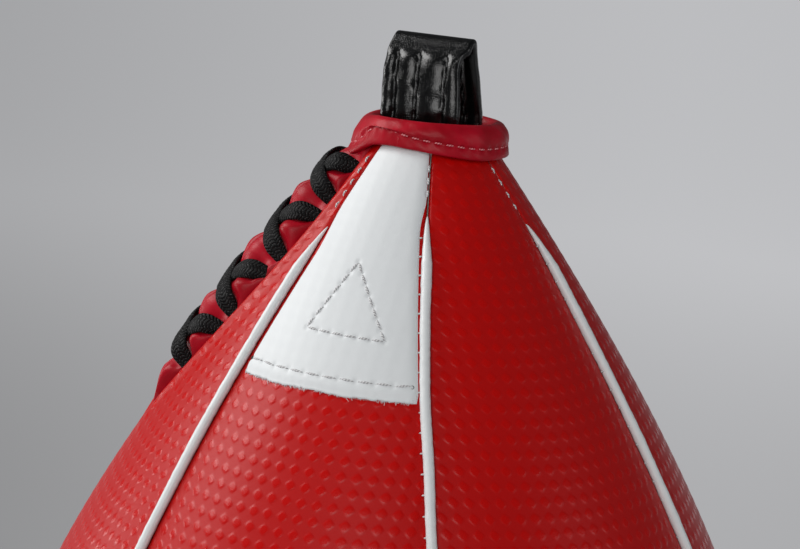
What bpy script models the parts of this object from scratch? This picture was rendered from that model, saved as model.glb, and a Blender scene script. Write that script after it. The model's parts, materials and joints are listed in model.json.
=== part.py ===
"""A laced, inflatable punching ball, pear shaped, that hangs by a padded strap loop.

Units are metres and +Z is up. The origin is the middle of the flat underside of the loop's crown, where
the hook or swivel that carries the ball bears. +X runs along the width of the strap, and the front of the
ball faces -Y. Azimuths are in degrees, measured from -Y towards +X.
"""

import math

import bmesh
import bpy
import numpy as np

# Where the parts meet.
FLEX_DROP = 0.0160  # hook seat down to the line where the strap bends at the collar
COLLAR_HEIGHT = 0.0054  # that line above the collar's lower edge, which is height 0 on the ball
LOOP_SHIFT = -0.0009  # the strap is sewn a little to one side of the mouth's middle
GAP = 0.0003  # between pieces that touch on the real ball

# The outside of the ball, from the neck to the pole.
NECK_RADIUS = 0.0155
CONE_START_RADIUS = 0.0142
CONE_ANGLE = 37.8
CONE_HANDLE = 0.0996
BELLY_RADIUS = 0.0974
BELLY_HEIGHT = -0.164
BELLY_HANDLE = 0.0349
POLE_HEIGHT = -0.261
NECK_HEIGHTS = (0.0018, 0.0006)
FLANK_HEIGHTS = (-0.0024, -0.008, -0.016, -0.024, -0.033, -0.042, -0.052, -0.060, -0.068, -0.084,
                 -0.103, -0.123, -0.144, -0.164)
BOTTOM_ANGLES = (12, 25, 38, 50, 61, 71, 79, 85)

# The seams: azimuth at WIND_HEIGHT, and how far each winds round per WIND_SPAN of height.
SEAM_AZIMUTHS = (-24.0, 31.7, 93.3, 155.0, 214.0, 270.0)
SEAM_WINDS = (-1.2, -5.1, -3.0, -2.5, -3.0, -2.5)
SEAM_TOPS = (0.0, 0.0, -7.0, 0.0, 0.0, 0.0)  # how far a seam is pulled round at the neck
SEAM_TOP_RUN = 0.0105
WIND_HEIGHT = -0.060
WIND_SPAN = 0.060
SEAM_DIP = 0.022  # how far in the seams pull, as a share of the radius
DIP_RUN = 0.015  # below the neck, the run over which that pull sets in
PANEL_NAMES = ("panel_front", "panel_front_right", "panel_rear_right", "panel_rear",
               "panel_rear_left", "panel_laced")
LACED = 5
GORE_STEPS = 4

# Layers, as offsets from the outside of the panels.
PANEL = (0.0, -0.0010)
LINING = (-0.0015, -0.0021)
INNER_STRIP = (-0.0026, -0.0036)
BLADDER = (-0.0044, -0.0054)
BLADDER_SHOULDER = -0.020
BLADDER_CROWN_RISE = 0.009  # its top above its highest full row
BLADDER_CROWN_DROP = 0.002  # and how far the crown falls off
BLADDER_CROWN_SHARE = 0.6  # by this share of that row's radius
BLADDER_SIDES = 20
VALVE_HEIGHT = -0.045
VALVE_HOLE_RADIUS = 0.0039
VALVE_HOLE_DEPTHS = (-0.0020, -0.0120)
VALVE_STEM = ((-0.0040, 0.0035), (-0.0078, 0.0035), (-0.0078, 0.0065), (-0.0090, 0.0065),
              (-0.0090, 0.0024), (-0.0180, 0.0020))  # depth and radius, from outside to inside
VALVE_SIDES = 12
PATCH = (0.0003, 0.0011)
PATCH_TOP = -0.0024
PATCH_BOTTOM = -0.052
PATCH_FULL_WIDTH = 0.010  # it keeps clear of the piping from this far above the piping's start

# The collar: a folded binding over a cord, as radius and height of its section.
COLLAR_SECTION = (
    (0.0172, -0.0016), (0.0179, 0.0008), (0.0177, 0.0030), (0.0166, 0.0050), (0.0150, 0.0058),
    (0.0139, 0.0049), (0.0135, 0.0030), (0.0135, -0.0016),
    (0.0142, -0.0016), (0.0141, 0.0032), (0.0144, 0.0043), (0.0150, 0.0047), (0.0157, 0.0043),
    (0.0160, 0.0032), (0.0159, 0.0006), (0.0163, -0.0016),
)
COLLAR_SIDES = 24
CORD_MIDDLE = (0.0150, 0.0033)
CORD_HALF = (0.0007, 0.0010)
CORD_TURNS = range(0, 360, 60)

# The piping: a cord in a folded strip, whose flange is sewn between the panels.
PIPING_STARTS = (-0.0200, -0.0145, -0.0165, -0.0170, -0.0160, -0.0190)
PIPING_RADIUS = 0.0012
PIPING_LIFT = 0.0014
PIPING_SIDES = 6
FLANGE_WIDTH = 0.0007
FLANGE_ROOM = 0.004  # the panels part for the flange from this far above the piping's start
PIPING_END_ANGLE = 78.0
BOTTOM_PATCH_RADIUS = 0.019
BOTTOM_PATCH = (0.0014, 0.0004)  # its two faces above the panels
BOTTOM_PATCH_SIDES = 24

# The laced slit, in the middle of its panel.
SLIT_DEPTH = 0.068
SLIT_TOP = 0.0046
SLIT_BELLY = 0.0086
LACE_RADIUS = 0.0012
LACE_LEVELS = (-0.0050, -0.0165, -0.0310, -0.0450, -0.0590)
LACE_TURN = 0.0018
LACE_END_TURN = 0.0012
LACE_STEP = 0.0025
CHANNEL = 0.0038
LACE_INSET = 0.0020
LACE_HOLE_LIFT = -0.0005
LACE_TURN_LIFT = -0.0006
LACE_CROSSINGS = (0.0044, 0.0071)  # the lower and the upper strand over the slit's middle
LACE_RISE = 0.0028  # beside a hole, where the lace climbs onto the roll
LACE_NEAR = 0.20  # the strand's shape points, as shares of the way to its middle
LACE_FAR = 0.55
LACE_PULL = 0.9
LACE_LEAN = 0.0004
ROLL_HEIGHT = 0.0026
ROLL_FLOOR = -0.0021
ROLL_EDGE = -0.0004
TUNNEL = (-0.0560, -0.0620)
TUNNEL_ROOF = 0.0010
ROLL_HEIGHTS = (-0.0024, -0.008, -0.016, -0.024, -0.033, -0.042, -0.052, -0.0555, TUNNEL[0],
                TUNNEL[1], -0.0625, -0.0655)
ROLL_NEAR = 0.00025  # each roll's near side to the slit's middle line
ROLL_LEAST = 0.0006
ROLL_WAIST = -0.050  # from here to the tunnel the rolls leave a little more room
ROLL_WAIST_ROOM = 0.0008
TONGUE_HEIGHTS = (-0.0062, -0.016, -0.024, -0.033, -0.042, -0.052, -0.068, -0.074)
TONGUE_MARGIN = 0.0035
TONGUE_COLUMNS = 5

# The strap loop.
STRAP_HALF_WIDTH = 0.0106
LOOP_FOOT_HALF = 0.0049
LOOP_SHOULDER_HALF = 0.0041
LOOP_CORNER = 0.0025
LOOP_FLAT_HALF = 0.0016
STRAP_INNER = (-0.00155, -0.00060)
STRAP_CORE = (-0.00030, 0.00030)
STRAP_OUTER = (0.00060, 0.00155)
LEG_END = 0.0010  # the loop's foot above the flex line
TAIL_TOP = -0.0028  # the sewn tails' top below the flex line
TAIL_BOTTOM = -0.046
TAIL_HEIGHTS = (COLLAR_HEIGHT + TAIL_TOP, -0.002, -0.008, -0.016, -0.024, -0.033, -0.042, TAIL_BOTTOM)
TAIL_OUT = 0.0054  # outer face from the middle of the mouth
TAIL_THICKNESS = 0.0012
TAIL_SPREAD_START = -0.002
TAIL_SPREAD_RUN = 0.014  # down which they turn from straight to lying on the lining
TAIL_COLUMNS = 5

RED = (0.62, 0.020, 0.012)
CRIMSON = (0.42, 0.008, 0.022)
WHITE = (0.80, 0.82, 0.83)
BLACK = (0.012, 0.012, 0.013)
CLOTH = (0.55, 0.53, 0.49)
RUBBER = (0.035, 0.033, 0.032)


def clear_scene():
    for item in list(bpy.data.objects):
        bpy.data.objects.remove(item, do_unlink=True)


def finish(name, colour, roughness):
    """A plain Principled material of one colour."""
    found = bpy.data.materials.get(name)
    if found:
        return found
    material = bpy.data.materials.new(name)
    material.use_nodes = True
    shader = material.node_tree.nodes["Principled BSDF"]
    shader.inputs["Base Color"].default_value = (*colour, 1.0)
    shader.inputs["Roughness"].default_value = roughness
    shader.inputs["Metallic"].default_value = 0.0
    material.diffuse_color = (*colour, 1.0)
    return material


def add_piece(name, points, faces, material, parent):
    """One closed mesh with its faces out, hung on a parent empty."""
    mesh = bpy.data.meshes.new(name)
    mesh.from_pydata([tuple(point) for point in points], [], [tuple(face) for face in faces])
    work = bmesh.new()
    work.from_mesh(mesh)
    bmesh.ops.remove_doubles(work, verts=work.verts, dist=1e-6)
    if work.calc_volume(signed=True) < 0:
        bmesh.ops.reverse_faces(work, faces=work.faces)
    work.to_mesh(mesh)
    work.free()
    mesh.shade_smooth()
    mesh.set_sharp_from_angle(angle=math.radians(40))
    mesh.materials.append(material)
    piece = bpy.data.objects.new(name, mesh)
    bpy.context.scene.collection.objects.link(piece)
    piece.parent = parent
    if parent.name == "ball_pivot":
        piece.location = (0.0, 0.0, -COLLAR_HEIGHT)
    return piece


def add_empty(name, location):
    empty = bpy.data.objects.new(name, None)
    empty.location = location
    bpy.context.scene.collection.objects.link(empty)
    return empty


def grid_faces(rows, columns, first=0):
    """Quads of an open grid whose points run row by row."""
    faces = []
    for i in range(rows - 1):
        for j in range(columns - 1):
            corner = first + i * columns + j
            faces.append((corner, corner + 1, corner + columns + 1, corner + columns))
    return faces


def weld(points, faces):
    """Points that coincide made one, and the faces that collapse dropped."""
    keys = {}
    index = []
    kept = []
    for point in points:
        key = tuple(round(float(value), 7) for value in point)
        if key not in keys:
            keys[key] = len(kept)
            kept.append(len(index))
        index.append(keys[key])
    joined = []
    for face in faces:
        corners = []
        for corner in (index[k] for k in face):
            if corner not in corners:
                corners.append(corner)
        if len(corners) > 2:
            joined.append(tuple(corners))
    return kept, joined


def shell(outer, inner, faces):
    """Closes an open sheet, given as its outer and its inner points, by walls along its free edges."""
    kept, joined = weld(outer, faces)
    outer = [outer[k] for k in kept]
    inner = [inner[k] for k in kept]
    count = len(outer)
    edges = {}
    for face in joined:
        for a, b in zip(face, face[1:] + face[:1]):
            edges[(a, b)] = edges.get((a, b), 0) + 1
    walls = [(a, b, b + count, a + count) for a, b in edges if (b, a) not in edges]
    backs = [tuple(k + count for k in reversed(face)) for face in joined]
    return outer + inner, joined + backs + [tuple(reversed(wall)) for wall in walls]


def tube(rings, closed=False):
    """A skin over rings of equal length: end caps, or joined end to end."""
    sides = len(rings[0])
    points = [point for ring in rings for point in ring]
    faces = []
    for i in range(len(rings) if closed else len(rings) - 1):
        for j in range(sides):
            a = i * sides
            b = (i + 1) % len(rings) * sides
            k = (j + 1) % sides
            faces.append((a + j, a + k, b + k, b + j))
    if not closed:
        faces.append(tuple(reversed(range(sides))))
        faces.append(tuple(range(len(points) - sides, len(points))))
    return points, faces


# ---------------------------------------------------------------- the ball's outside

def flank_point(t):
    """The side of the ball as one cubic curve from the neck down to the widest ring."""
    slope = math.radians(CONE_ANGLE)
    corners = (
        (CONE_START_RADIUS, 0.0),
        (CONE_START_RADIUS + CONE_HANDLE * math.sin(slope), -CONE_HANDLE * math.cos(slope)),
        (BELLY_RADIUS, BELLY_HEIGHT + BELLY_HANDLE),
        (BELLY_RADIUS, BELLY_HEIGHT),
    )
    weights = ((1 - t) ** 3, 3 * (1 - t) ** 2 * t, 3 * (1 - t) * t ** 2, t ** 3)
    radius = sum(weight * corner[0] for weight, corner in zip(weights, corners))
    height = sum(weight * corner[1] for weight, corner in zip(weights, corners))
    return radius, height


def profile_rows():
    """Radius and height of every row of the ball, from the neck's top edge to near the pole."""
    rows = [(NECK_RADIUS, height) for height in NECK_HEIGHTS]
    samples = [flank_point(k / 400) for k in range(401)]
    heights = [-height for _, height in samples]
    radii = [radius for radius, _ in samples]
    rows += [(float(np.interp(-height, heights, radii)), height) for height in FLANK_HEIGHTS]
    for angle in BOTTOM_ANGLES:
        turn = math.radians(angle)
        depth = (BELLY_HEIGHT - POLE_HEIGHT) * math.sin(turn)
        rows.append((BELLY_RADIUS * math.cos(turn), BELLY_HEIGHT - depth))
    return rows


ROWS = profile_rows()


def row_normals():
    """Outward normals of the rows, as radius and height."""
    path = np.array(ROWS + [(0.0, POLE_HEIGHT)])
    steps = np.gradient(path, axis=0)
    steps /= np.linalg.norm(steps, axis=1)[:, None]
    normals = np.stack([-steps[:, 1], steps[:, 0]], axis=1)
    normals[:len(NECK_HEIGHTS)] = (1.0, 0.0)
    return normals[:-1]


NORMALS = row_normals()


def at_height(height):
    """Radius and normal between the rows, as the flat faces there have them."""
    depths = [-row[1] for row in ROWS]
    radius = float(np.interp(-height, depths, [row[0] for row in ROWS]))
    normal = [float(np.interp(-height, depths, NORMALS[:, k])) for k in (0, 1)]
    return radius, normal


def seam_azimuth(seam, height):
    """Azimuth of a seam, which winds round a little on its way down and then runs straight."""
    turns = seam // 6
    seam = seam % 6
    rise = (height - WIND_HEIGHT) / WIND_SPAN
    if rise < -1:
        rise = -1 - 0.5 * (1 - math.exp(2 * (rise + 1)))
    pulled = SEAM_TOPS[seam] * math.exp(-(height / SEAM_TOP_RUN) ** 2)
    return SEAM_AZIMUTHS[seam] + 360 * turns + SEAM_WINDS[seam] * rise + pulled


def skin_point(gore, across, height, offset):
    """A point of a panel: across is 0 at its first seam and 1 at its second."""
    radius, normal = at_height(height)
    first = seam_azimuth(gore, height)
    second = seam_azimuth(gore + 1, height)
    azimuth = math.radians(first + across * (second - first))
    fade = min(1.0, max(0.0, -height / DIP_RUN))
    radius *= 1 - SEAM_DIP * fade * (2 * across - 1) ** 2
    radius += offset * normal[0]
    return (radius * math.sin(azimuth), -radius * math.cos(azimuth), height + offset * normal[1])


def edge_share(gore, height, distance):
    """The share of a panel's width that a distance along the surface makes."""
    radius = at_height(height)[0]
    span = math.radians(seam_azimuth(gore + 1, height) - seam_azimuth(gore, height))
    return distance / (radius * span)


def seam_gap(seam, height):
    """Half the gap between two panels: the flange's room below the piping's start."""
    if height > PIPING_STARTS[seam % 6] + FLANGE_ROOM:
        return GAP / 2
    return FLANGE_WIDTH / 2 + GAP


def slit_half(height):
    """Half the width of the laced slit, measured along the surface."""
    share = min(1.0, max(0.0, -height / SLIT_DEPTH))
    return SLIT_TOP * (1 - share) + 4 * SLIT_BELLY * share * (1 - share)


def slit_point(height, sideways, offset):
    """A point by its distance from the slit's middle line: sideways is positive towards the front."""
    radius = at_height(height)[0]
    first = seam_azimuth(LACED, height)
    second = seam_azimuth(LACED + 1, height)
    across = 0.5 + sideways / (radius * math.radians(second - first))
    return skin_point(LACED, across, height, offset)


# ---------------------------------------------------------------- panels, lining, bladder

def panel_columns(gore, height, top_offset):
    """The shares across a panel at which its grid has points, one list for each lobe."""
    low = edge_share(gore, height, seam_gap(gore, height)) if top_offset else 0.0
    high = 1 - edge_share(gore, height, seam_gap(gore + 1, height)) if top_offset else 1.0
    if gore != LACED:
        return [list(np.linspace(low, high, GORE_STEPS + 1))]
    slit = edge_share(gore, height, slit_half(height))
    half = GORE_STEPS // 2 + 1
    return [list(np.linspace(low, 0.5 - slit, half)), list(np.linspace(0.5 + slit, high, half))]


def gore_sheet(gore, layer, leave_gap):
    """Outer points, inner points and faces of one gore: the panels alone reach up into the collar."""
    heights = [row[1] for row in ROWS[0 if leave_gap else len(NECK_HEIGHTS):]]
    outer = []
    inner = []
    faces = []
    for lobe in range(2 if gore == LACED else 1):
        first = len(outer)
        columns = [panel_columns(gore, height, leave_gap)[lobe] for height in heights]
        for height, shares in zip(heights, columns):
            outer += [skin_point(gore, share, height, layer[0]) for share in shares]
            inner += [skin_point(gore, share, height, layer[1]) for share in shares]
        faces += grid_faces(len(heights), len(columns[0]), first)
    return outer, inner, faces


def make_panels(ball):
    leather = finish("red_leather", RED, 0.38)
    for gore, name in enumerate(PANEL_NAMES):
        points, faces = shell(*gore_sheet(gore, PANEL, True))
        add_piece(name, points, faces, leather, ball)


def make_lining(ball):
    """One fabric skin under all six panels, open at the mouth and along the slit."""
    outer = []
    inner = []
    faces = []
    for gore in range(6):
        sheet = gore_sheet(gore, LINING, False)
        faces += [tuple(corner + len(outer) for corner in face) for face in sheet[2]]
        outer += sheet[0]
        inner += sheet[1]
    pole = len(outer)
    outer.append((0.0, 0.0, POLE_HEIGHT - LINING[0]))
    inner.append((0.0, 0.0, POLE_HEIGHT - LINING[1]))
    kept, joined = weld(outer, faces)
    last = min(point[2] for point in outer[:pole])
    border = {}
    for face in joined:
        for a, b in zip(face, face[1:] + face[:1]):
            border[(a, b)] = True
    closing = [
        (b, a, kept.index(pole))
        for a, b in border
        if (b, a) not in border and max(outer[kept[a]][2], outer[kept[b]][2]) < last + 1e-5
    ]
    outer = [outer[k] for k in kept]
    inner = [inner[k] for k in kept]
    points, faces = shell(outer, inner, joined + closing)
    add_piece("lining", points, faces, finish("lining_cloth", CLOTH, 0.9), ball)


def turned_shell(path_outer, path_inner, sides):
    """Two turned surfaces joined along their first ring and closed at the pole."""
    def turned(path):
        points = []
        for radius, height in path:
            for k in range(sides + 1):
                angle = 2 * math.pi * k / sides
                points.append((radius * math.sin(angle), -radius * math.cos(angle), height))
        return points

    faces = grid_faces(len(path_outer), sides + 1)
    return turned(path_outer), turned(path_inner), faces


def make_bladder(ball):
    """The rubber bladder, a closed balloon with a hole for its valve, and the valve in it."""
    rubber = finish("rubber", RUBBER, 0.6)
    paths = []
    for offset in BLADDER:
        rows = [
            (radius * (1 - SEAM_DIP) + offset * normal[0], height + offset * normal[1])
            for (radius, height), normal in zip(ROWS, NORMALS)
            if height < BLADDER_SHOULDER
        ][::2]
        crown = rows[0]
        top = crown[1] + BLADDER_CROWN_RISE + offset
        rows = [(0.0, top), (crown[0] * BLADDER_CROWN_SHARE, top - BLADDER_CROWN_DROP)] + rows
        rows.append((0.0, POLE_HEIGHT - offset))
        paths.append(rows)
    outer, inner, faces = turned_shell(paths[0], paths[1], BLADDER_SIDES)
    points, faces = shell(outer, inner, faces)
    bladder = add_piece("bladder", points, faces, rubber, ball)

    radius, normal = at_height(VALVE_HEIGHT)
    first, second = seam_azimuth(LACED, VALVE_HEIGHT), seam_azimuth(LACED + 1, VALVE_HEIGHT)
    azimuth = math.radians(0.5 * (first + second))
    out = np.array((normal[0] * math.sin(azimuth), -normal[0] * math.cos(azimuth), normal[1]))
    base = np.array((radius * math.sin(azimuth), -radius * math.cos(azimuth), VALVE_HEIGHT))
    side = np.array((math.cos(azimuth), math.sin(azimuth), 0.0))
    across = np.cross(out, side)

    def ring(depth, size):
        angles = [2 * math.pi * k / VALVE_SIDES for k in range(VALVE_SIDES)]
        return [
            base + out * depth + (side * math.cos(angle) + across * math.sin(angle)) * size
            for angle in angles
        ]

    points, faces = tube([ring(depth, VALVE_HOLE_RADIUS) for depth in VALVE_HOLE_DEPTHS])
    cutter = add_piece("valve_hole", points, faces, rubber, ball)
    cutter.hide_render = True
    cutter.display_type = "WIRE"
    cut = bladder.modifiers.new("valve_hole", "BOOLEAN")
    cut.operation = "DIFFERENCE"
    cut.object = cutter
    points, faces = tube([ring(depth, size) for depth, size in VALVE_STEM])
    add_piece("valve", points, faces, rubber, ball)


# ---------------------------------------------------------------- trim on the outside

def make_piping(ball):
    """Six welt pipings: a round bead over each seam with a flange between the panels."""
    leather = finish("white_leather", WHITE, 0.4)
    end = BELLY_HEIGHT - (BELLY_HEIGHT - POLE_HEIGHT) * math.sin(math.radians(PIPING_END_ANGLE))
    for seam in range(6):
        start = PIPING_STARTS[seam]
        heights = [start] + [row[1] for row in ROWS if end < row[1] < start - 0.002] + [end]
        rings = []
        for height in heights:
            normal = at_height(height)[1]
            azimuth = math.radians(seam_azimuth(seam, height))
            side = np.array((math.cos(azimuth), math.sin(azimuth), 0.0))
            out = np.array((normal[0] * math.sin(azimuth), -normal[0] * math.cos(azimuth), normal[1]))
            foot = np.array(skin_point(seam, 0.0, height, 0.0))
            mouth = math.asin(FLANGE_WIDTH / 2 / PIPING_RADIUS)
            turns = np.linspace(-math.pi / 2 + mouth, 3 * math.pi / 2 - mouth, PIPING_SIDES)
            ring = [
                foot + out * (PIPING_LIFT + PIPING_RADIUS * math.sin(turn))
                + side * PIPING_RADIUS * math.cos(turn)
                for turn in turns
            ]
            ring.append(foot + out * PANEL[1] - side * FLANGE_WIDTH / 2)
            ring.append(foot + out * PANEL[1] + side * FLANGE_WIDTH / 2)
            rings.append(ring)
        points, faces = tube(rings)
        add_piece(f"piping_{seam + 1}", points, faces, leather, ball)


def make_crown_patches(ball):
    """The white patches over the panels under which the strap's two tails are sewn."""
    heights = [row[1] for row in ROWS if PATCH_BOTTOM <= row[1] <= PATCH_TOP]
    for gore, name in ((0, "crown_patch_front"), (3, "crown_patch_rear")):
        outer = []
        inner = []
        for height in heights:
            low = edge_share(gore, height, FLANGE_WIDTH / 2 + 2 * GAP)
            if height < PIPING_STARTS[gore] + PATCH_FULL_WIDTH:
                low = edge_share(gore, height, PIPING_RADIUS + GAP)
            for share in np.linspace(low, 1 - low, GORE_STEPS + 1):
                outer.append(skin_point(gore, share, height, PATCH[1]))
                inner.append(skin_point(gore, share, height, PATCH[0]))
        points, faces = shell(outer, inner, grid_faces(len(heights), GORE_STEPS + 1))
        add_piece(name, points, faces, finish("white_leather", WHITE, 0.4), ball)


def turned_ring(name, section, sides, material, ball):
    rings = []
    for k in range(sides):
        angle = 2 * math.pi * k / sides
        rings.append([(r * math.sin(angle), -r * math.cos(angle), z) for r, z in section])
    points, faces = tube(rings, closed=True)
    return add_piece(name, points, faces, material, ball)


def make_collar(ball):
    """A folded binding over the panels' top edge, with a cord inside that gives it its roll."""
    leather = finish("crimson_leather", CRIMSON, 0.45)
    turned_ring("collar_binding", COLLAR_SECTION, COLLAR_SIDES, leather, ball)
    cord = [
        (CORD_MIDDLE[0] + CORD_HALF[0] * math.cos(turn), CORD_MIDDLE[1] + CORD_HALF[1] * math.sin(turn))
        for turn in map(math.radians, CORD_TURNS)
    ]
    turned_ring("collar_cord", cord, COLLAR_SIDES, finish("lining_cloth", CLOTH, 0.9), ball)


def make_bottom_patch(ball):
    """The round cap over the point where the six panels meet."""
    rows = [(0.0, POLE_HEIGHT, (0.0, -1.0))]
    rows += [
        (radius, height, tuple(normal))
        for (radius, height), normal in list(zip(ROWS, NORMALS))[::-1]
        if radius < BOTTOM_PATCH_RADIUS and height < BELLY_HEIGHT
    ]
    paths = [[(r + lift * n[0], h + lift * n[1]) for r, h, n in rows] for lift in BOTTOM_PATCH]
    outer, inner, faces = turned_shell(paths[0], paths[1], BOTTOM_PATCH_SIDES)
    points, faces = shell(outer, inner, faces)
    add_piece("bottom_patch", points, faces, finish("red_leather", RED, 0.38), ball)


# ---------------------------------------------------------------- the laced slit

def make_slit_rolls(ball):
    """Two padded leather rolls that fill the slit and meet along its middle."""
    leather = finish("crimson_leather", CRIMSON, 0.45)
    for side, name in ((1, "slit_roll_front"), (-1, "slit_roll_rear")):
        rings = []
        for height in ROLL_HEIGHTS:
            near = ROLL_NEAR
            room = CHANNEL if height >= TUNNEL[1] else 2 * GAP
            if TUNNEL[1] < height < ROLL_WAIST:
                room += ROLL_WAIST_ROOM
            far = max(slit_half(height) - room, near + ROLL_LEAST)
            crown = ROLL_HEIGHT * min(1.0, 0.5 + (far - near) / 0.006)
            floor = TUNNEL_ROOF if TUNNEL[1] <= height <= TUNNEL[0] else ROLL_FLOOR
            width = far - near
            section = (
                (near, floor), (near, 0.6 * crown), (near + 0.15 * width, 0.92 * crown),
                (near + 0.40 * width, crown), (near + 0.75 * width, 0.62 * crown),
                (far, ROLL_EDGE if floor < 0 else floor + 2 * GAP), (far, floor),
            )
            rings.append([slit_point(height, side * x, lift) for x, lift in section])
        points, faces = tube(rings)
        add_piece(name, points, faces, leather, ball)


def make_tongue(ball):
    """A leather tongue behind the slit that keeps the lace off the bladder."""
    outer = []
    inner = []
    for height in TONGUE_HEIGHTS:
        half = slit_half(height) + TONGUE_MARGIN
        for sideways in np.linspace(-half, half, TONGUE_COLUMNS):
            outer.append(slit_point(height, sideways, INNER_STRIP[0]))
            inner.append(slit_point(height, sideways, INNER_STRIP[1]))
    points, faces = shell(outer, inner, grid_faces(len(TONGUE_HEIGHTS), TONGUE_COLUMNS))
    add_piece("tongue", points, faces, finish("crimson_leather", CRIMSON, 0.45), ball)


def lace_route():
    """The lace criss-crosses down one side and back up the other, over the rolls."""
    def hole(level, side, turn):
        height = LACE_LEVELS[level] + turn
        return (height, side * (slit_half(height) - LACE_INSET), LACE_HOLE_LIFT)

    def strand(level, side, down, lift):
        """From a hole to the one on the other side, a level lower or higher."""
        step = 1 if down else -1
        start = hole(level, side, -LACE_TURN * step)
        end = hole(level + step, -side, LACE_TURN * step)
        middle = 0.5 * (start[0] + end[0])

        def between(anchor, share):
            height = anchor[0] + share * (middle - anchor[0])
            sideways = anchor[1] * (1 - LACE_PULL * share) - math.copysign(LACE_LEAN, anchor[1])
            rise = LACE_RISE if share == LACE_NEAR else 0.5 * (low + lift)
            return (height, sideways, rise)

        return [start, between(start, LACE_NEAR), between(start, LACE_FAR), (middle, 0.0, lift),
                between(end, LACE_FAR), between(end, LACE_NEAR), end]

    low, high = LACE_CROSSINGS
    route = [hole(0, 1, LACE_END_TURN)]
    side = 1
    for level in range(4):
        route += strand(level, side, True, high if level % 2 else low)
        side = -side
    last = len(LACE_LEVELS) - 1
    route += [hole(last, side, 0.0)[:2] + (LACE_TURN_LIFT,), (LACE_LEVELS[last], 0.0, LACE_TURN_LIFT)]
    side = -side
    route += [hole(last, side, 0.0)[:2] + (LACE_TURN_LIFT,)]
    for level in range(last, 0, -1):
        route += strand(level, side, False, low if (level - 1) % 2 else high)
        side = -side
    route.append(hole(0, side, LACE_END_TURN))
    return [np.array(slit_point(*point)) for point in route]


def smooth_route(points, spacing):
    """Points at even spacing along a Catmull-Rom curve through a route."""
    padded = [2 * points[0] - points[1]] + points + [2 * points[-1] - points[-2]]
    curve = []
    for a, b, c, d in zip(padded, padded[1:], padded[2:], padded[3:]):
        for t in np.linspace(0, 1, 12, endpoint=False):
            curve.append(0.5 * (2 * b + (c - a) * t + (2 * a - 5 * b + 4 * c - d) * t ** 2
                                + (3 * b - a - 3 * c + d) * t ** 3))
    curve.append(points[-1])
    curve = np.array(curve)
    lengths = np.concatenate([[0], np.cumsum(np.linalg.norm(np.diff(curve, axis=0), axis=1))])
    places = np.linspace(0, lengths[-1], max(2, round(lengths[-1] / spacing)))
    return np.stack([np.interp(places, lengths, curve[:, k]) for k in range(3)], axis=1)


def make_lace(ball):
    data = bpy.data.curves.new("lace", "CURVE")
    data.dimensions = "3D"
    data.bevel_depth = LACE_RADIUS
    data.bevel_resolution = 2
    data.use_fill_caps = True
    data.materials.append(finish("lace_braid", BLACK, 0.85))
    points = smooth_route(lace_route(), LACE_STEP)
    spline = data.splines.new("POLY")
    spline.points.add(len(points) - 1)
    for target, point in zip(spline.points, points):
        target.co = (*point, 1.0)
    lace = bpy.data.objects.new("lace", data)
    bpy.context.scene.collection.objects.link(lace)
    lace.parent = ball
    lace.location = (0.0, 0.0, -COLLAR_HEIGHT)


# ---------------------------------------------------------------- the strap loop

def loop_path(offset):
    """The loop seen from its edge, as points from the front foot over the crown to the rear foot."""
    foot = -FLEX_DROP + LEG_END
    top = -STRAP_INNER[0]
    shoulder = top - LOOP_CORNER
    right = [(LOOP_FOOT_HALF + offset, foot), (LOOP_SHOULDER_HALF + offset, shoulder)]
    for turn in (30, 60, 90):
        angle = math.radians(turn)
        reach = LOOP_CORNER + offset
        right.append((LOOP_FLAT_HALF + reach * math.cos(angle), shoulder + reach * math.sin(angle)))
    return [(-y, z) for y, z in right] + [(y, z) for y, z in reversed(right)]


def make_loop(loop):
    leather = finish("black_leather", BLACK, 0.35)
    webbing = finish("webbing", CLOTH, 0.9)
    for name, layer, material in (
        ("loop_outer_ply", STRAP_OUTER, leather),
        ("loop_core", STRAP_CORE, webbing),
        ("loop_inner_ply", STRAP_INNER, leather),
    ):
        outer = []
        inner = []
        for (yo, zo), (yi, zi) in zip(loop_path(layer[1]), loop_path(layer[0])):
            for x in (-STRAP_HALF_WIDTH, STRAP_HALF_WIDTH):
                outer.append((x, yo, zo))
                inner.append((x, yi, zi))
        points, faces = shell(outer, inner, grid_faces(len(outer) // 2, 2))
        add_piece(name, points, faces, material, loop)


def make_tails(ball):
    """The strap's two ends: straight through the mouth, then spread flat against the lining."""
    webbing = finish("webbing", CLOTH, 0.9)
    for facing, name in ((-1, "loop_tail_front"), (1, "loop_tail_rear")):
        outer = []
        inner = []
        for height in TAIL_HEIGHTS:
            spread = min(1.0, max(0.0, (TAIL_SPREAD_START - height) / TAIL_SPREAD_RUN))
            radius, normal = at_height(height)
            for x in np.linspace(-STRAP_HALF_WIDTH, STRAP_HALF_WIDTH, TAIL_COLUMNS):
                for group, depth in ((outer, 0), (inner, 1)):
                    flat = np.array((x + LOOP_SHIFT, facing * (TAIL_OUT - TAIL_THICKNESS * depth), height))
                    reach = radius * (1 - SEAM_DIP) + INNER_STRIP[depth] * normal[0]
                    angle = x / radius
                    laid = np.array((
                        reach * math.sin(angle),
                        facing * reach * math.cos(angle),
                        height + INNER_STRIP[depth] * normal[1],
                    ))
                    group.append(flat * (1 - spread) + laid * spread)
        points, faces = shell(outer, inner, grid_faces(len(TAIL_HEIGHTS), TAIL_COLUMNS))
        add_piece(name, points, faces, webbing, ball)


def build():
    clear_scene()
    loop = add_empty("loop_seat", (0.0, 0.0, 0.0))
    ball = add_empty("ball_pivot", (-LOOP_SHIFT, 0.0, -FLEX_DROP))
    bpy.context.view_layer.update()
    make_loop(loop)
    make_tails(ball)
    make_collar(ball)
    make_panels(ball)
    make_lining(ball)
    make_bladder(ball)
    make_piping(ball)
    make_crown_patches(ball)
    make_bottom_patch(ball)
    make_slit_rolls(ball)
    make_tongue(ball)
    make_lace(ball)


build()
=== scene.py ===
import json
import math

import bpy
import numpy as np
from mathutils import Matrix, Vector


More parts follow.
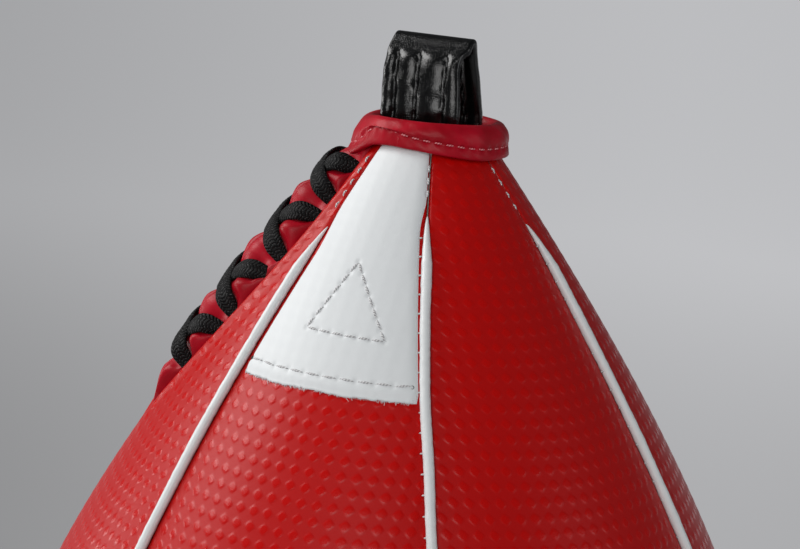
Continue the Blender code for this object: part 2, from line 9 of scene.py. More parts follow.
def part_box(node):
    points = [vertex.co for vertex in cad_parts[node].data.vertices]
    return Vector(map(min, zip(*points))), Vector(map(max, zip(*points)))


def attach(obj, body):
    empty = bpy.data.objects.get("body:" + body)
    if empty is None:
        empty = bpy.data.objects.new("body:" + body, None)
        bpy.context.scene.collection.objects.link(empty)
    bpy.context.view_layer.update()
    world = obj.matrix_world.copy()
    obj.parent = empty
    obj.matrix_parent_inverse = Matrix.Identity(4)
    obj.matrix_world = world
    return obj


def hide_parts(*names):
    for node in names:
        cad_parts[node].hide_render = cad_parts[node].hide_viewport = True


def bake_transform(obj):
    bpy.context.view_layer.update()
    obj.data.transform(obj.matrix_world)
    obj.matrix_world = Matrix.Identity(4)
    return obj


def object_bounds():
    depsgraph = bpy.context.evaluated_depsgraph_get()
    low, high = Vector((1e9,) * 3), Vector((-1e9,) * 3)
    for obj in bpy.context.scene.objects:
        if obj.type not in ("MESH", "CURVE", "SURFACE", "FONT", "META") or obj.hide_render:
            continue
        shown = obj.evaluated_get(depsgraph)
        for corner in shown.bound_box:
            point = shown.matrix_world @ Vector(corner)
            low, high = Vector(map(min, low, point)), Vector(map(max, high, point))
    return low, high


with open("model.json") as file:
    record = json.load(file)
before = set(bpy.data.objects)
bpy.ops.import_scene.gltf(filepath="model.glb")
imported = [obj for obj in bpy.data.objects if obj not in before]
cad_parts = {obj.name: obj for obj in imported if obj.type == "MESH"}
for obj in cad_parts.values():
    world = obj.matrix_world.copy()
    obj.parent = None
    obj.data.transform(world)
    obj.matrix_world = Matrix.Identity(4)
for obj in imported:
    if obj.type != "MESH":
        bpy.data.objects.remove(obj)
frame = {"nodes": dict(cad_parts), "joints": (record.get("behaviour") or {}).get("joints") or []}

cad_low, cad_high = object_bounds()


# ---- camera, backdrop and studio light
# A long lens looks a little down on the neck of the ball, turned a few degrees about its own line of sight.
# Heights on the ball count from the collar's lower edge, below which the collar's binding reaches a little.
# The room is a plain grey sweep with a soft window light at the left and weaker ones elsewhere; the sweep
# also glows by itself, with painted light and shade laid over it.

BINDING_BELOW_EDGE = 0.0016
hinge = Vector(frame["joints"][0]["pos_m"])
neck_edge = Vector((hinge.x, hinge.y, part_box("collar_binding")[0].z + BINDING_BELOW_EDGE))

CAMERA_AZIMUTH = 28.0
CAMERA_ELEVATION = 10.53
CAMERA_ROLL = math.radians(4.60)
CAMERA_DISTANCE = 0.552
CAMERA_AIM = Vector((-0.00464, -0.00246, -0.03311))
CAMERA_LENS = 103.5
FLOOR_DROP = 0.030
FLOOR_REACH = 16.0
LAMPS = {  # azimuth, elevation, distance, side, power, colour
    "window": (-73.0, 35.0, 1.15, 0.70, 12.0, (1.0, 0.99, 0.98)),
    "left_wall": (-86.0, -4.0, 1.40, 0.40, 3.4, (1.0, 0.99, 0.98)),
    "front_fill": (14.0, 16.0, 1.40, 0.80, 9.2, (1.0, 0.99, 0.98)),
    "right_fill": (96.0, 10.0, 1.40, 0.70, 3.0, (0.97, 0.985, 1.0)),
}
ROOM_COLOUR = (0.80, 0.82, 0.86, 1.0)
ROOM_STRENGTH = 0.13

scene = bpy.context.scene
scene.view_settings.view_transform = "Standard"


def compass(azimuth, elevation):
    """A unit vector by azimuth, from the front towards the right, and by height above the horizon."""
    turn, tilt = math.radians(azimuth), math.radians(elevation)
    return Vector((math.sin(turn) * math.cos(tilt), -math.cos(turn) * math.cos(tilt), math.sin(tilt)))


towards_camera = compass(CAMERA_AZIMUTH, CAMERA_ELEVATION)
level = compass(CAMERA_AZIMUTH + 90.0, 0.0)
upright = towards_camera.cross(level)
right = level * math.cos(CAMERA_ROLL) + upright * math.sin(CAMERA_ROLL)
above = upright * math.cos(CAMERA_ROLL) - level * math.sin(CAMERA_ROLL)
camera_data = bpy.data.cameras.new("camera")
camera_data.lens = CAMERA_LENS
camera_data.sensor_width = 36.0
camera_data.clip_start = 0.05
camera_data.clip_end = 80.0
camera = bpy.data.objects.new("camera", camera_data)
scene.collection.objects.link(camera)
camera.matrix_world = Matrix((right, above, towards_camera)).transposed().to_4x4()
camera.location = neck_edge + CAMERA_AIM + towards_camera * CAMERA_DISTANCE
scene.camera = camera

for name, (azimuth, elevation, distance, side, power, colour) in LAMPS.items():
    lamp_data = bpy.data.lights.new(name, "AREA")
    lamp_data.size = side
    lamp_data.energy = power
    lamp_data.color = colour
    lamp = bpy.data.objects.new(name, lamp_data)
    scene.collection.objects.link(lamp)
    way = compass(azimuth, elevation)
    lamp.location = neck_edge + way * distance
    lamp.rotation_euler = way.to_track_quat("Z", "Y").to_euler()

room = bpy.data.worlds.new("room")
room.use_nodes = True
room.node_tree.nodes["Background"].inputs["Color"].default_value = ROOM_COLOUR
room.node_tree.nodes["Background"].inputs["Strength"].default_value = ROOM_STRENGTH
scene.world = room


def two_ways(operation):
    """A Math node's operator with the wire on its left and on its right."""
    return (lambda wire, other: wire.maths(operation, wire, other),
            lambda wire, other: wire.maths(operation, other, wire))


class Wire:
    """A number, vector or colour on its way through a material. Its operators add Math nodes."""

    __add__, __radd__ = two_ways("ADD")
    __sub__, __rsub__ = two_ways("SUBTRACT")
    __mul__, __rmul__ = two_ways("MULTIPLY")
    __truediv__ = two_ways("DIVIDE")[0]

    def __init__(self, finish, socket):
        self.finish = finish
        self.socket = socket

    def maths(self, operation, *values):
        return self.finish.node("Math", {"operation": operation}, dict(enumerate(values)))

    def __abs__(self):
        return self.maths("ABSOLUTE", self)

    def cosine(self):
        return self.maths("COSINE", self)

    def ramp(self, low, high):
        """Smoothly from 0 at low to 1 at high."""
        return self.finish.node("MapRange", {"interpolation_type": "SMOOTHSTEP"}, {0: self, 1: low, 2: high})


class Finish:
    """A material in the making."""

    def __init__(self, name):
        self.material = bpy.data.materials.new(name)
        self.material.use_nodes = True
        self.tree = self.material.node_tree
        self.tree.nodes.clear()

    def node(self, kind, settings=None, inputs=None, output=0):
        """Adds a node of any type: its settings first, then the values and links of its sockets."""
        made = self.tree.nodes.new("ShaderNode" + kind)
        for key, value in (settings or {}).items():
            setattr(made, key, value)
        for key, value in (inputs or {}).items():
            if isinstance(value, Wire):
                self.tree.links.new(value.socket, made.inputs[key])
            elif made.inputs[key].type == "RGBA":
                made.inputs[key].default_value = (*value, 1.0)
            else:
                made.inputs[key].default_value = value
        return Wire(self, made.outputs[output])

    def split(self, place):
        """The three numbers of a vector."""
        outputs = self.node("SeparateXYZ", None, {0: place}).socket.node.outputs
        return [Wire(self, output) for output in outputs]

    def laid(self):
        """Where a point lies on its piece, in metres, as a vector and as its numbers across and along."""
        place = self.node("Attribute", {"attribute_name": "laid"}, output="Vector")
        return place, *self.split(place)[:2]

    def spot(self):
        """Where a point of a solid piece is, in metres."""
        return self.node("TexCoord", output="Object")

    def noise(self, place, scale, detail=3.0, roughness=0.55):
        return self.node("TexNoise", None, {"Vector": place, "Scale": scale, "Detail": detail,
                                            "Roughness": roughness})

    def cells(self, place, scale, feature="F1"):
        return self.node("TexVoronoi", {"feature": feature}, {"Vector": place, "Scale": scale})

    def bands(self, place, direction, scale):
        return self.node("TexWave", {"wave_type": "BANDS", "bands_direction": direction},
                         {"Vector": place, "Scale": scale})

    def mixed(self, share, first, second):
        return self.node("Mix", {"data_type": "RGBA"}, {0: share, 6: first, 7: second}, output=2)

    def bumped(self, height, distance, strength=1.0):
        return self.node("Bump", None, {"Height": height, "Distance": distance, "Strength": strength})

    def painted(self, **sockets):
        """Ends the material in one Principled shader."""
        inputs = {key.replace("_", " "): value for key, value in sockets.items()}
        shader = self.node("BsdfPrincipled", None, inputs)
        out = self.tree.nodes.new("ShaderNodeOutputMaterial")
        self.tree.links.new(shader.socket, out.inputs[0])
        return self.material


def add_piece(name, points, groups, material, laid=None):
    """A mesh object from points and groups of faces with equally many corners."""
    points = np.asarray(points, np.float32).reshape(-1, 3)
    groups = [np.asarray(group, np.int32) for group in groups]
    corners = np.concatenate([group.ravel() for group in groups])
    sizes = np.concatenate([np.full(len(group), group.shape[1]) for group in groups])
    mesh = bpy.data.meshes.new(name)
    mesh.vertices.add(len(points))
    mesh.vertices.foreach_set("co", points.ravel())
    mesh.loops.add(len(corners))
    mesh.loops.foreach_set("vertex_index", corners)
    mesh.polygons.add(len(sizes))
    mesh.polygons.foreach_set("loop_start", np.concatenate([[0], np.cumsum(sizes)[:-1]]).astype(np.int32))
    mesh.update(calc_edges=True)
    mesh.validate()
    if laid is not None:
        held = mesh.attributes.new("laid", "FLOAT_VECTOR", "POINT")
        held.data.foreach_set("vector", np.asarray(laid, np.float32).ravel())
    mesh.shade_smooth()
    mesh.materials.append(material)
    piece = bpy.data.objects.new(name, mesh)
    scene.collection.objects.link(piece)
    return piece


sweep = Finish("grey_sweep")
# Painted light and shade: the paper's colour and its own glow are darker at the near left, where less of the
# window's light would reach it, and lighter to the right and farther back; closest to the ball both are even.
east, north, _ = sweep.split(sweep.node("NewGeometry", output="Position"))
sideways = east * level.x + north * level.y
away = north * level.x - east * level.y + CAMERA_DISTANCE
share = sideways / (sweep.node("Math", {"operation": "MAXIMUM"}, {0: away, 1: 1.0}) * 0.348) + 0.5
painted_light_gradient = share.ramp(-0.42, 1.0) * 0.52 + away.ramp(1.05, 2.3) * 0.50
beyond = away.ramp(0.75, 1.15)
painted_shade_tone = painted_light_gradient * beyond + (1 - beyond) * 0.62
# Painted light: the far sweep glows by itself, brighter to the right and farther back.
far_painted_glow = sweep.mixed(painted_light_gradient, (0.155, 0.156, 0.158), (0.475, 0.478, 0.492))
sweep.painted(
    Base_Color=sweep.mixed(painted_shade_tone, (0.10, 0.10, 0.105), (0.22, 0.22, 0.225)),
    Emission_Color=sweep.mixed(beyond, (0.141, 0.142, 0.146), far_painted_glow),
    Emission_Strength=1.0,
    Roughness=0.9,
)
floor_corners = [(FLOOR_REACH * x, FLOOR_REACH * y, cad_low.z - FLOOR_DROP)
                 for x, y in ((-1, -1), (1, -1), (1, 1), (-1, 1))]
floor = add_piece("floor", floor_corners, [[(0, 1, 2, 3)]], sweep.material)


# ---- the six leather panels
# Pear-shaped gores of red artificial leather, pressed all over with a fine square lattice of soft pillows.
# They are sewn together edge to edge with their edges turned in; one of them has the laced slit down its
# middle, whose lips are rolled under.

CONE_START_RADIUS = 0.0142
CONE_ANGLE = math.radians(37.8)
CONE_HANDLE = 0.0996
BELLY_RADIUS = 0.0974
BELLY_HEIGHT = -0.164
BELLY_HANDLE = 0.0349
POLE_HEIGHT = -0.261
SEAM_AZIMUTHS = (-24.0, 31.7, 93.3, 155.0, 214.0, 270.0)
SEAM_WINDS = (-1.2, -5.1, -3.0, -2.5, -3.0, -2.5)  # degrees on from the azimuth at the neck
WIND_HEIGHT = -0.060
WIND_LAST = 0.5  # the winding that is left lower down
SEAM_TOPS = (0.0, 0.0, -7.0, 0.0, 0.0, 0.0)  # degrees by which the collar pulls a seam aside
SEAM_TOP_RUN = 0.0105
SEAM_DIP = 0.022
DIP_RUN = 0.015
SEAM_ROOM = 0.00015
SLIT_DEPTH = 0.068
SLIT_TOP = 0.0046
SLIT_BELLY = 0.0086
LACED = 5
PANELS = ("panel_front", "panel_front_right", "panel_rear_right", "panel_rear", "panel_rear_left",
          "panel_laced")
LATTICE = 0.0036
PILLOW_HEIGHT = 0.00005
TURN_IN = 0.0010
TURN_WIDTH = 0.0016
LIP_WIDTH = 0.0020
LIP_SWELL = 0.0007
LEATHER_THICKNESS = 0.0010
PANEL_END_ANGLE = math.radians(85)
NECK_RISE = 0.0025  # the panels go on up inside the collar
COARSE_FROM = -0.105  # height below which the mesh may be coarser
DOWN_FINE = 0.00062
DOWN_COARSE = 0.0011
ACROSS_STEPS = 96
EDGE_CROWDING = 0.4  # how much closer the mesh lies at a panel's edges
STEP_BACK = 4
neck = np.array(neck_edge)


def stacked(*values):
    """Points from their coordinates, each a number or an array."""
    return np.stack(np.broadcast_arrays(*values), axis=-1)


def measured(path):
    """The distance along a path at each of its points."""
    return np.concatenate([[0], np.cumsum(np.linalg.norm(np.diff(path, axis=0), axis=1))])


def placed(path, count):
    """Points evenly along a path."""
    lengths = measured(path)
    places = np.linspace(0, lengths[-1], count)
    return np.stack([np.interp(places, lengths, column) for column in path.T], axis=1)


def unit(ways):
    return ways / np.linalg.norm(ways, axis=-1, keepdims=True)


def around(count):
    return np.linspace(0, 2 * np.pi, count, endpoint=False)


def smooth(low, high, value):
    share = np.clip((value - low) / (high - low), 0, 1)
    return share * share * (3 - 2 * share)


def bump(value, width):
    return np.exp(-(value / width) ** 2)


def flank_curve():
    """Radius and height down the side of the ball from the neck to the pole."""
    t = np.linspace(0, 1, 600)[:, None]
    corners = np.array([
        (CONE_START_RADIUS, 0.0),
        (CONE_START_RADIUS + CONE_HANDLE * math.sin(CONE_ANGLE), -CONE_HANDLE * math.cos(CONE_ANGLE)),
        (BELLY_RADIUS, BELLY_HEIGHT + BELLY_HANDLE),
        (BELLY_RADIUS, BELLY_HEIGHT),
    ])
    side = ((1 - t) ** 3 * corners[0] + 3 * (1 - t) ** 2 * t * corners[1]
            + 3 * (1 - t) * t ** 2 * corners[2] + t ** 3 * corners[3])
    turn = np.linspace(0, math.pi / 2, 400)[1:]
    bottom = stacked(BELLY_RADIUS * np.cos(turn), BELLY_HEIGHT - (BELLY_HEIGHT - POLE_HEIGHT) * np.sin(turn))
    return np.vstack([side, bottom])


flank = flank_curve()
flank_lengths = measured(flank)
flank_steps = unit(np.gradient(flank, flank_lengths, axis=0))


def down_to(height):
    """Distance down the side of the ball at which a height is reached."""
    return np.interp(-np.asarray(height), -flank[:, 1], flank_lengths)


def meridian(down):
    """Radius, height and outward normal at a distance down the side."""
    radius, height, step_r, step_z = (np.interp(down, flank_lengths, values)
                                      for values in (*flank.T, *flank_steps.T))
    return radius, height - np.minimum(down, 0), -step_z, step_r


def seam_azimuth(seam, height):
    """Azimuth in radians of a seam, which winds round a little on its way down and then runs straight."""
    rise = (height - WIND_HEIGHT) / -WIND_HEIGHT
    rise = np.where(rise < -1, -1 - WIND_LAST * (1 - np.exp(np.minimum(rise + 1, 0) / WIND_LAST)), rise)
    lap, seam = 360 * (seam // 6), seam % 6
    pulled = SEAM_TOPS[seam] * bump(height, SEAM_TOP_RUN)
    return np.radians(SEAM_AZIMUTHS[seam] + lap + SEAM_WINDS[seam] * rise + pulled)


def turned(radius, azimuth, height):
    """Points by radius, azimuth and height about the ball's axis."""
    return stacked(radius * np.sin(azimuth), -radius * np.cos(azimuth), height)


def on_panel(panel, across, down, lift=0.0):
    """World points of a panel, across being 0 at its first seam and 1 at its second."""
    radius, height, normal_r, normal_z = meridian(down)
    first, second = seam_azimuth(panel, height), seam_azimuth(panel + 1, height)
    fade = np.clip(-height / DIP_RUN, 0, 1)
    radius = radius * (1 - SEAM_DIP * fade * np.clip(2 * across - 1, -1.05, 1.05) ** 2) + lift * normal_r
    return neck + turned(radius, first + across * (second - first), height + lift * normal_z)


def panel_width(panel, down):
    """A panel's width along the surface."""
    radius, height = meridian(down)[:2]
    return radius * (seam_azimuth(panel + 1, height) - seam_azimuth(panel, height))


def panel_spot(panel, sideways, down, lift):
    """World points of a panel by metres from its middle line."""
    return on_panel(panel, 0.5 + sideways / panel_width(panel, down), down, lift)


def slit_half(height):
    """Half the width of the laced slit."""
    share = np.clip(-height / SLIT_DEPTH, 0, 1)
    return SLIT_TOP * (1 - share) + 4 * SLIT_BELLY * share * (1 - share)


def even_steps(first, last, spacing, step=1):
    """Nearly the given spacing, with a number of steps that divides by step."""
    return np.linspace(first, last, step * max(1, round((last - first) / spacing / step)) + 1)


def pressed(sideways, down):
    """Height of the leather's pressed lattice."""
    lattice = np.cos(2 * np.pi * sideways / LATTICE) + np.cos(2 * np.pi * down / LATTICE)
    return PILLOW_HEIGHT * smooth(0.2, 1.8, lattice)


def turned_edge(distance, depth=TURN_IN, width=TURN_WIDTH):
    """How far a turned-in edge drops below the panel."""
    return depth * (1 - np.sqrt(np.clip(1 - np.clip(1 - distance / width, 0, 1) ** 2, 0, 1)))


def grid_quads(rows, columns, first=0):
    corner = (first + np.arange(rows - 1)[:, None] * columns + np.arange(columns - 1)).ravel()
    return np.stack([corner, corner + columns, corner + columns + 1, corner + 1], axis=1)


def slab(name, outer, inner, material, laid, step=1):
    """A sheet with thickness: a fine outer grid, an inner grid of every step-th point, and its four walls."""
    rows, columns = outer.shape[:2]
    inner = inner[::step, ::step]
    back_rows, back_columns = inner.shape[:2]
    count = rows * columns
    back = grid_quads(back_rows, back_columns, count)[:, ::-1]
    fine = np.arange(count).reshape(rows, columns)
    coarse = count + np.arange(back_rows * back_columns).reshape(back_rows, back_columns)
    walls = []
    for edge, rim, flipped in ((fine[0], coarse[0], False), (fine[-1], coarse[-1], True),
                               (fine[:, 0], coarse[:, 0], True), (fine[:, -1], coarse[:, -1], False)):
        for k in range(len(rim) - 1):
            wall = list(edge[k * step:(k + 1) * step + 1]) + [rim[k + 1], rim[k]]
            walls.append(wall[::-1] if flipped else wall)
    points = np.concatenate([outer.reshape(-1, 3), inner.reshape(-1, 3)])
    laid = np.concatenate([laid.reshape(-1, 3), laid[::step, ::step].reshape(-1, 3)])
    return add_piece(name, points, [grid_quads(rows, columns), back, walls], material, laid)


def fasten(piece, slot_name, *nodes):
    """Fixes a piece to the ball, in place of the frame's nodes that are named."""
    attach(piece, "ball")
    for node in nodes:
        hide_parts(node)


def shaded_lattice(across, along):
    """The pressed lattice as the shader sees it, from -2 to 2."""
    return (across * (2 * math.pi / LATTICE)).cosine() + (along * (2 * math.pi / LATTICE)).cosine()


red = Finish("red_leather")
place, across, along = red.laid()
pillow = shaded_lattice(across, along).ramp(-0.1, 1.4)
pores = red.cells(place, 2600.0)
grain = red.noise(place, 1500.0, 4.0, 0.6)
cloudy = red.noise(place, 60.0, 2.0)
# Painted shade: the lattice's recesses are coloured darker and its pillows lighter.
red_with_painted_lattice_shade = red.mixed(pillow, (0.43, 0.0008, 0.0005), (0.48, 0.0022, 0.0014))
red_leather = red.painted(
    Base_Color=red.mixed(cloudy.ramp(0.35, 0.7) * 0.20, red_with_painted_lattice_shade, (0.46, 0.0014, 0.0010)),
    Roughness=0.40 - pillow * 0.16 + grain * 0.04,
    Normal=red.bumped(pillow + grain * 0.10 + pores * 0.08, 0.000065),
    Specular_IOR_Level=0.20,
)
down_end = flank_lengths[-1] - BELLY_RADIUS * math.cos(PANEL_END_ANGLE)
down_turn = down_to(COARSE_FROM)
downs = np.concatenate([even_steps(-NECK_RISE, down_turn, DOWN_FINE, STEP_BACK),
                        even_steps(down_turn, down_end, DOWN_COARSE, STEP_BACK)[1:]])


def panel_lobe(name, node, panel, lip=0):
    """A panel from seam to seam, or a leaf of the laced one. A leaf's first edge (1) or its second (-1) is a
    lip of the slit."""
    down = downs[:, None]
    height = meridian(down)[1]
    width = panel_width(panel, down)
    at_slit = 0.5 + lip * slit_half(height) / width
    start = at_slit if lip > 0 else SEAM_ROOM / width
    end = at_slit if lip < 0 else 1 - SEAM_ROOM / width
    evenly = np.linspace(0, 1, ACROSS_STEPS + 1)
    share = evenly - EDGE_CROWDING * np.sin(2 * np.pi * evenly) / (2 * np.pi)
    across = start + share * (end - start)
    from_start = share * (end - start) * width
    from_end = (1 - share) * (end - start) * width
    sideways = (across - 0.5) * width
    # Below the slit the two leaves meet as one sheet, without an edge.
    whole = 0.01 * (1 - smooth(-SLIT_DEPTH - 0.006, -SLIT_DEPTH + 0.002, height))
    start_edge = from_start + whole * (lip > 0)
    end_edge = from_end + whole * (lip < 0)
    lift = pressed(sideways, down) * smooth(0.0008, 0.003, np.minimum(start_edge, end_edge))
    narrow = 0.55 + 0.45 * smooth(-0.012, -0.024, height)
    for edge, is_lip in ((start_edge, lip > 0), (end_edge, lip < 0)):
        lift = lift - turned_edge(edge, width=(LIP_WIDTH if is_lip else TURN_WIDTH) * narrow)
    if lip:
        # The slit's lips swell a little where the lace draws them over the pads.
        near = from_end if lip < 0 else from_start
        slit = smooth(0.0, -0.008, height) * (1 - smooth(-SLIT_DEPTH + 0.004, -SLIT_DEPTH - 0.010, height))
        lift = lift + LIP_SWELL * slit * bump(near - 0.0022, 0.0016)
    outer = on_panel(panel, across, down, lift)
    inner = on_panel(panel, across, down, -LEATHER_THICKNESS - TURN_IN * 0.3)
    laid = stacked(sideways, down, np.minimum(from_start, from_end))
    fasten(slab(name, outer, inner, red_leather, laid, STEP_BACK), "red_leather", node)


for panel, node in enumerate(PANELS[:LACED]):
    panel_lobe(node.replace("panel", "gore"), node, panel)
for lip, name in ((-1, "gore_laced_rear"), (1, "gore_laced_front")):
    panel_lobe(name, "panel_laced", LACED, lip)


# ---- the white piping
# A thin cord wrapped in white leather and caught in the seams. Each length starts in a cut point a little
# below the collar and runs to the cap at the bottom; its leather puckers a little along the seam.

PIPING_STARTS = (-0.0200, -0.0145, -0.0165, -0.0170, -0.0160, -0.0190)
PIPING_RADIUS = 0.0012
PIPING_LIFT = 0.0011
PIPING_SUNK = 0.0002
PIPING_POINT = 0.012
PIPING_STEP = 0.0007
PIPING_SIDES = 14
PIPING_END_ANGLE = math.radians(78.0)


def table_noise(seed, place, count):
    """Smooth repeatable noise between -1 and 1, one bump to a unit, that starts again after count bumps."""
    table = np.random.default_rng(seed).uniform(-1, 1, count)
    low = np.floor(place).astype(int)
    share = smooth(0, 1, place - low)
    return table[low % count] * (1 - share) + table[(low + 1) % count] * share


def line_noise(seed, values, size):
    return table_noise(seed, np.asarray(values) / size + 512, 4096)


def tube_groups(rings, sides, first=0, closed=False, flipped=False):
    """Side faces of a tube, and the two caps unless it closes on itself."""
    ring = np.arange(rings if closed else rings - 1)[:, None] * sides
    next_ring = (ring + sides) % (rings * sides)
    side = np.arange(sides)
    next_side = (side + 1) % sides
    quads = np.stack([ring + side, ring + next_side, next_ring + next_side, next_ring + side], axis=-1)
    groups = [quads.reshape(-1, 4)]
    if not closed:
        groups += [side[None, ::-1], side[None] + (rings - 1) * sides]
    return [first + (group[:, ::-1] if flipped else group) for group in groups]


def seam_frame(seam, down):
    """Points on a seam with the directions out of the ball and across the seam."""
    height, normal_r, normal_z = meridian(down)[1:]
    azimuth = seam_azimuth(seam, height)
    side = stacked(np.cos(azimuth), np.sin(azimuth), 0)
    return on_panel(seam, 0.0, down), turned(normal_r, azimuth, normal_z), side


white = Finish("white_leather")
place, across, along = white.laid()
white_grain = white.noise(place, 1400.0, 4.0, 0.6)
scuffs = white.noise(place, 110.0, 3.0)
creases = white.noise(place, 900.0, 2.0)
white_leather = white.painted(
    Base_Color=white.mixed(scuffs.ramp(0.4, 0.8) * 0.30, (0.70, 0.72, 0.725), (0.56, 0.575, 0.58)),
    Roughness=0.30 + white_grain * 0.12,
    Normal=white.bumped(white_grain * 0.5 + creases * 0.5, 0.00005, 0.5),
    Specular_IOR_Level=0.40,
)
piping_end = down_to(BELLY_HEIGHT - (BELLY_HEIGHT - POLE_HEIGHT) * math.sin(PIPING_END_ANGLE))
turn = around(PIPING_SIDES)
for seam in range(6):
    first = down_to(PIPING_STARTS[seam])
    down = even_steps(first, piping_end, PIPING_STEP)[:, None]
    foot, out, side = seam_frame(seam, down)
    # The point widens to the full round, the bead lies a little unevenly, and its leather puckers.
    grown = np.clip((down - first) / PIPING_POINT, 0, 1) ** 0.75 * 0.90 + 0.10
    pucker = 0.05 * line_noise(30 + seam, down, 0.0011) + 0.03 * line_noise(50 + seam, down, 0.007)
    size = PIPING_RADIUS * grown * (1 + pucker)
    sway = 0.00022 * line_noise(70 + seam, down, 0.016) * grown
    rings = (foot + out * (PIPING_LIFT * grown - PIPING_SUNK + size * np.sin(turn))[..., None]
             + side * (sway + size * np.cos(turn))[..., None])
    laid = stacked(turn * PIPING_RADIUS, down * 4, 0)
    piece = add_piece(f"welt_{seam + 1}", rings, tube_groups(len(down), PIPING_SIDES), white_leather, laid)
    fasten(piece, "white_leather", f"piping_{seam + 1}")


# ---- the white crown patches
# Two sheets of white leather over the front and rear panels, under which the strap's tails are sewn. Their
# lower edge is cut raw and frays; a row of stitches runs above it and a stitched triangle sits in the middle.

PATCH_TOP = -0.0018  # the sheet goes on up under the collar by this much
PATCH_BOTTOM = -0.0522
PATCH_SKIN = 0.0008
PATCH_UNDERSIDE = -0.0001
PATCH_STEP = 0.00045
PATCH_COLUMNS = 110
TRIANGLE = ((-0.0257, 2.3), (-0.0404, -6.6), (-0.0408, 18.3))  # height and azimuth of its corners
TRIANGLE_PITCH = 0.0032
HEM_HEIGHT = -0.0492
HEM_PITCH = 0.0040
HEM_MARGIN = 0.0030
PATCH_THREAD = 0.00030
NEEDLE_DENT = 0.00038
HOLE_RADIUS = 0.00046
HOLE_PROFILE = ((-0.00082, 0.5), (-0.00021, 0.75), (-0.00021, 1.0), (-0.00092, 0.9))
FIBRES = 260
FIBRE_RADIUS = 0.00009
THREAD_STATIONS = 9
THREAD_SIDES = 6


def thread_finish(name, dark, pale, roughness):
    """Twisted thread, whose plies show as slanting stripes, with painted shade darkening the grooves between
    them.
    """
    thread = Finish(name)
    _, across, along = thread.laid()
    ply_and_painted_groove_shade = thread.node("Math", {"operation": "SINE"}, {0: along * 9000.0 + across * 5000.0})
    return thread.painted(
        # Painted shade: the stripes are coloured darker in the twist's grooves.
        Base_Color=thread.mixed(ply_and_painted_groove_shade.ramp(-1, 1), dark, pale),
        Roughness=roughness,
        Normal=thread.bumped(ply_and_painted_groove_shade, 0.00006, 0.6),
    )


patch = Finish("white_patch_leather")
place, across, along = patch.laid()
patch_pillow = shaded_lattice(across, along).ramp(-1.2, 1.2)
patch_grain = patch.noise(place, 1600.0, 4.0, 0.6)
patch_tone = patch.noise(place, 45.0, 2.0)
patch_leather = patch.painted(
    Base_Color=patch.mixed(patch_tone.ramp(0.3, 0.75) * 0.35, (0.70, 0.725, 0.735), (0.65, 0.672, 0.687)),
    Roughness=0.46 + patch_grain * 0.10 - patch_pillow * 0.05,
    Normal=patch.bumped(patch_grain + patch_pillow * 1.2, 0.00005, 0.35),
    Specular_IOR_Level=0.22,
)
pale_thread = thread_finish("pale_thread", (0.36, 0.36, 0.37), (0.70, 0.70, 0.70), 0.75)
# Dark beads in the needle holes: partly the dark lower thread showing through, partly painted shade inside
# the holes.
needle_hole_thread_and_shade = Finish("needle_hole_thread_and_shade")
dust = needle_hole_thread_and_shade.noise(needle_hole_thread_and_shade.spot(), 3000.0)
hole_dark_thread_and_shade = needle_hole_thread_and_shade.painted(
    Base_Color=needle_hole_thread_and_shade.mixed(dust, (0.015, 0.013, 0.012), (0.05, 0.045, 0.04)),
    Roughness=0.9,
)


def hoop(middle, first, second, size, turn):
    """A ring of points round a middle, in the plane of two directions."""
    return middle + size * (np.cos(turn)[:, None] * first + np.sin(turn)[:, None] * second)


def stitch_row(name, points, outs, sewn, size, seed, thread=pale_thread):
    """A row of single stitches from hole to hole, each a short arched thread that dives in at its ends."""
    rng = np.random.default_rng(seed)
    rings, laid, groups = [], [], []
    turn = around(THREAD_SIDES)
    gap = (1 - sewn) / 2
    for k, (start, end, out) in enumerate(zip(points, points[1:], outs)):
        long = np.linalg.norm(end - start)
        side = np.cross(out, (end - start) / long)
        tilt = side * long * rng.normal(0, 0.035)
        for share in np.linspace(gap, 1 - gap, THREAD_STATIONS):
            bow = math.sin(math.pi * (share - gap) / sewn)
            middle = start + (end - start) * share + out * size * (1.25 * bow - 0.9) + tilt * (share - 0.5)
            rings.append(hoop(middle, side, out, size * (0.78 + 0.22 * bow), turn))
            laid.append(stacked(turn * size, (k + share) * long, 0))
        groups += tube_groups(THREAD_STATIONS, THREAD_SIDES, k * THREAD_STATIONS * THREAD_SIDES)
    return add_piece(name, rings, groups, thread, laid)


def beads(name, points, ways, references, profile, size, sides, material):
    """Small round bodies: a profile's ring is a distance along the body's way and a share of the size."""
    turn = around(sides)
    rings, groups = [], []
    for k, (point, way, reference) in enumerate(zip(points, ways, references)):
        first = unit(np.cross(way, reference))
        second = unit(np.cross(way, first))
        rings += [hoop(point + way * along, first, second, size * share, turn) for along, share in profile]
        groups += tube_groups(len(profile), sides, k * len(profile) * sides)
    return add_piece(name, rings, groups, material)


def row_of_marks(corners, spacing):
    """Points across and down, evenly along straight lines between corners."""
    corners = np.array(corners)
    return placed(corners, max(2, round(measured(corners)[-1] / spacing) + 1))


def sewn_rows(panel):
    """The needle holes round a patch's triangle and along its hem, across from the middle line and down."""
    corners = []
    for height, azimuth in TRIANGLE:
        middle = 0.5 * (seam_azimuth(0, height) + seam_azimuth(1, height))
        down = down_to(height)
        corners.append((meridian(down)[0] * (math.radians(azimuth) - middle), down))
    sides = [row_of_marks(ends, TRIANGLE_PITCH)[:-1] for ends in zip(corners, corners[1:] + corners[:1])]
    down = down_to(HEM_HEIGHT)
    half = 0.5 * panel_width(panel, down) - HEM_MARGIN
    return np.vstack(sides + [sides[0][:1]]), row_of_marks(((-half, down), (half, down)), HEM_PITCH)


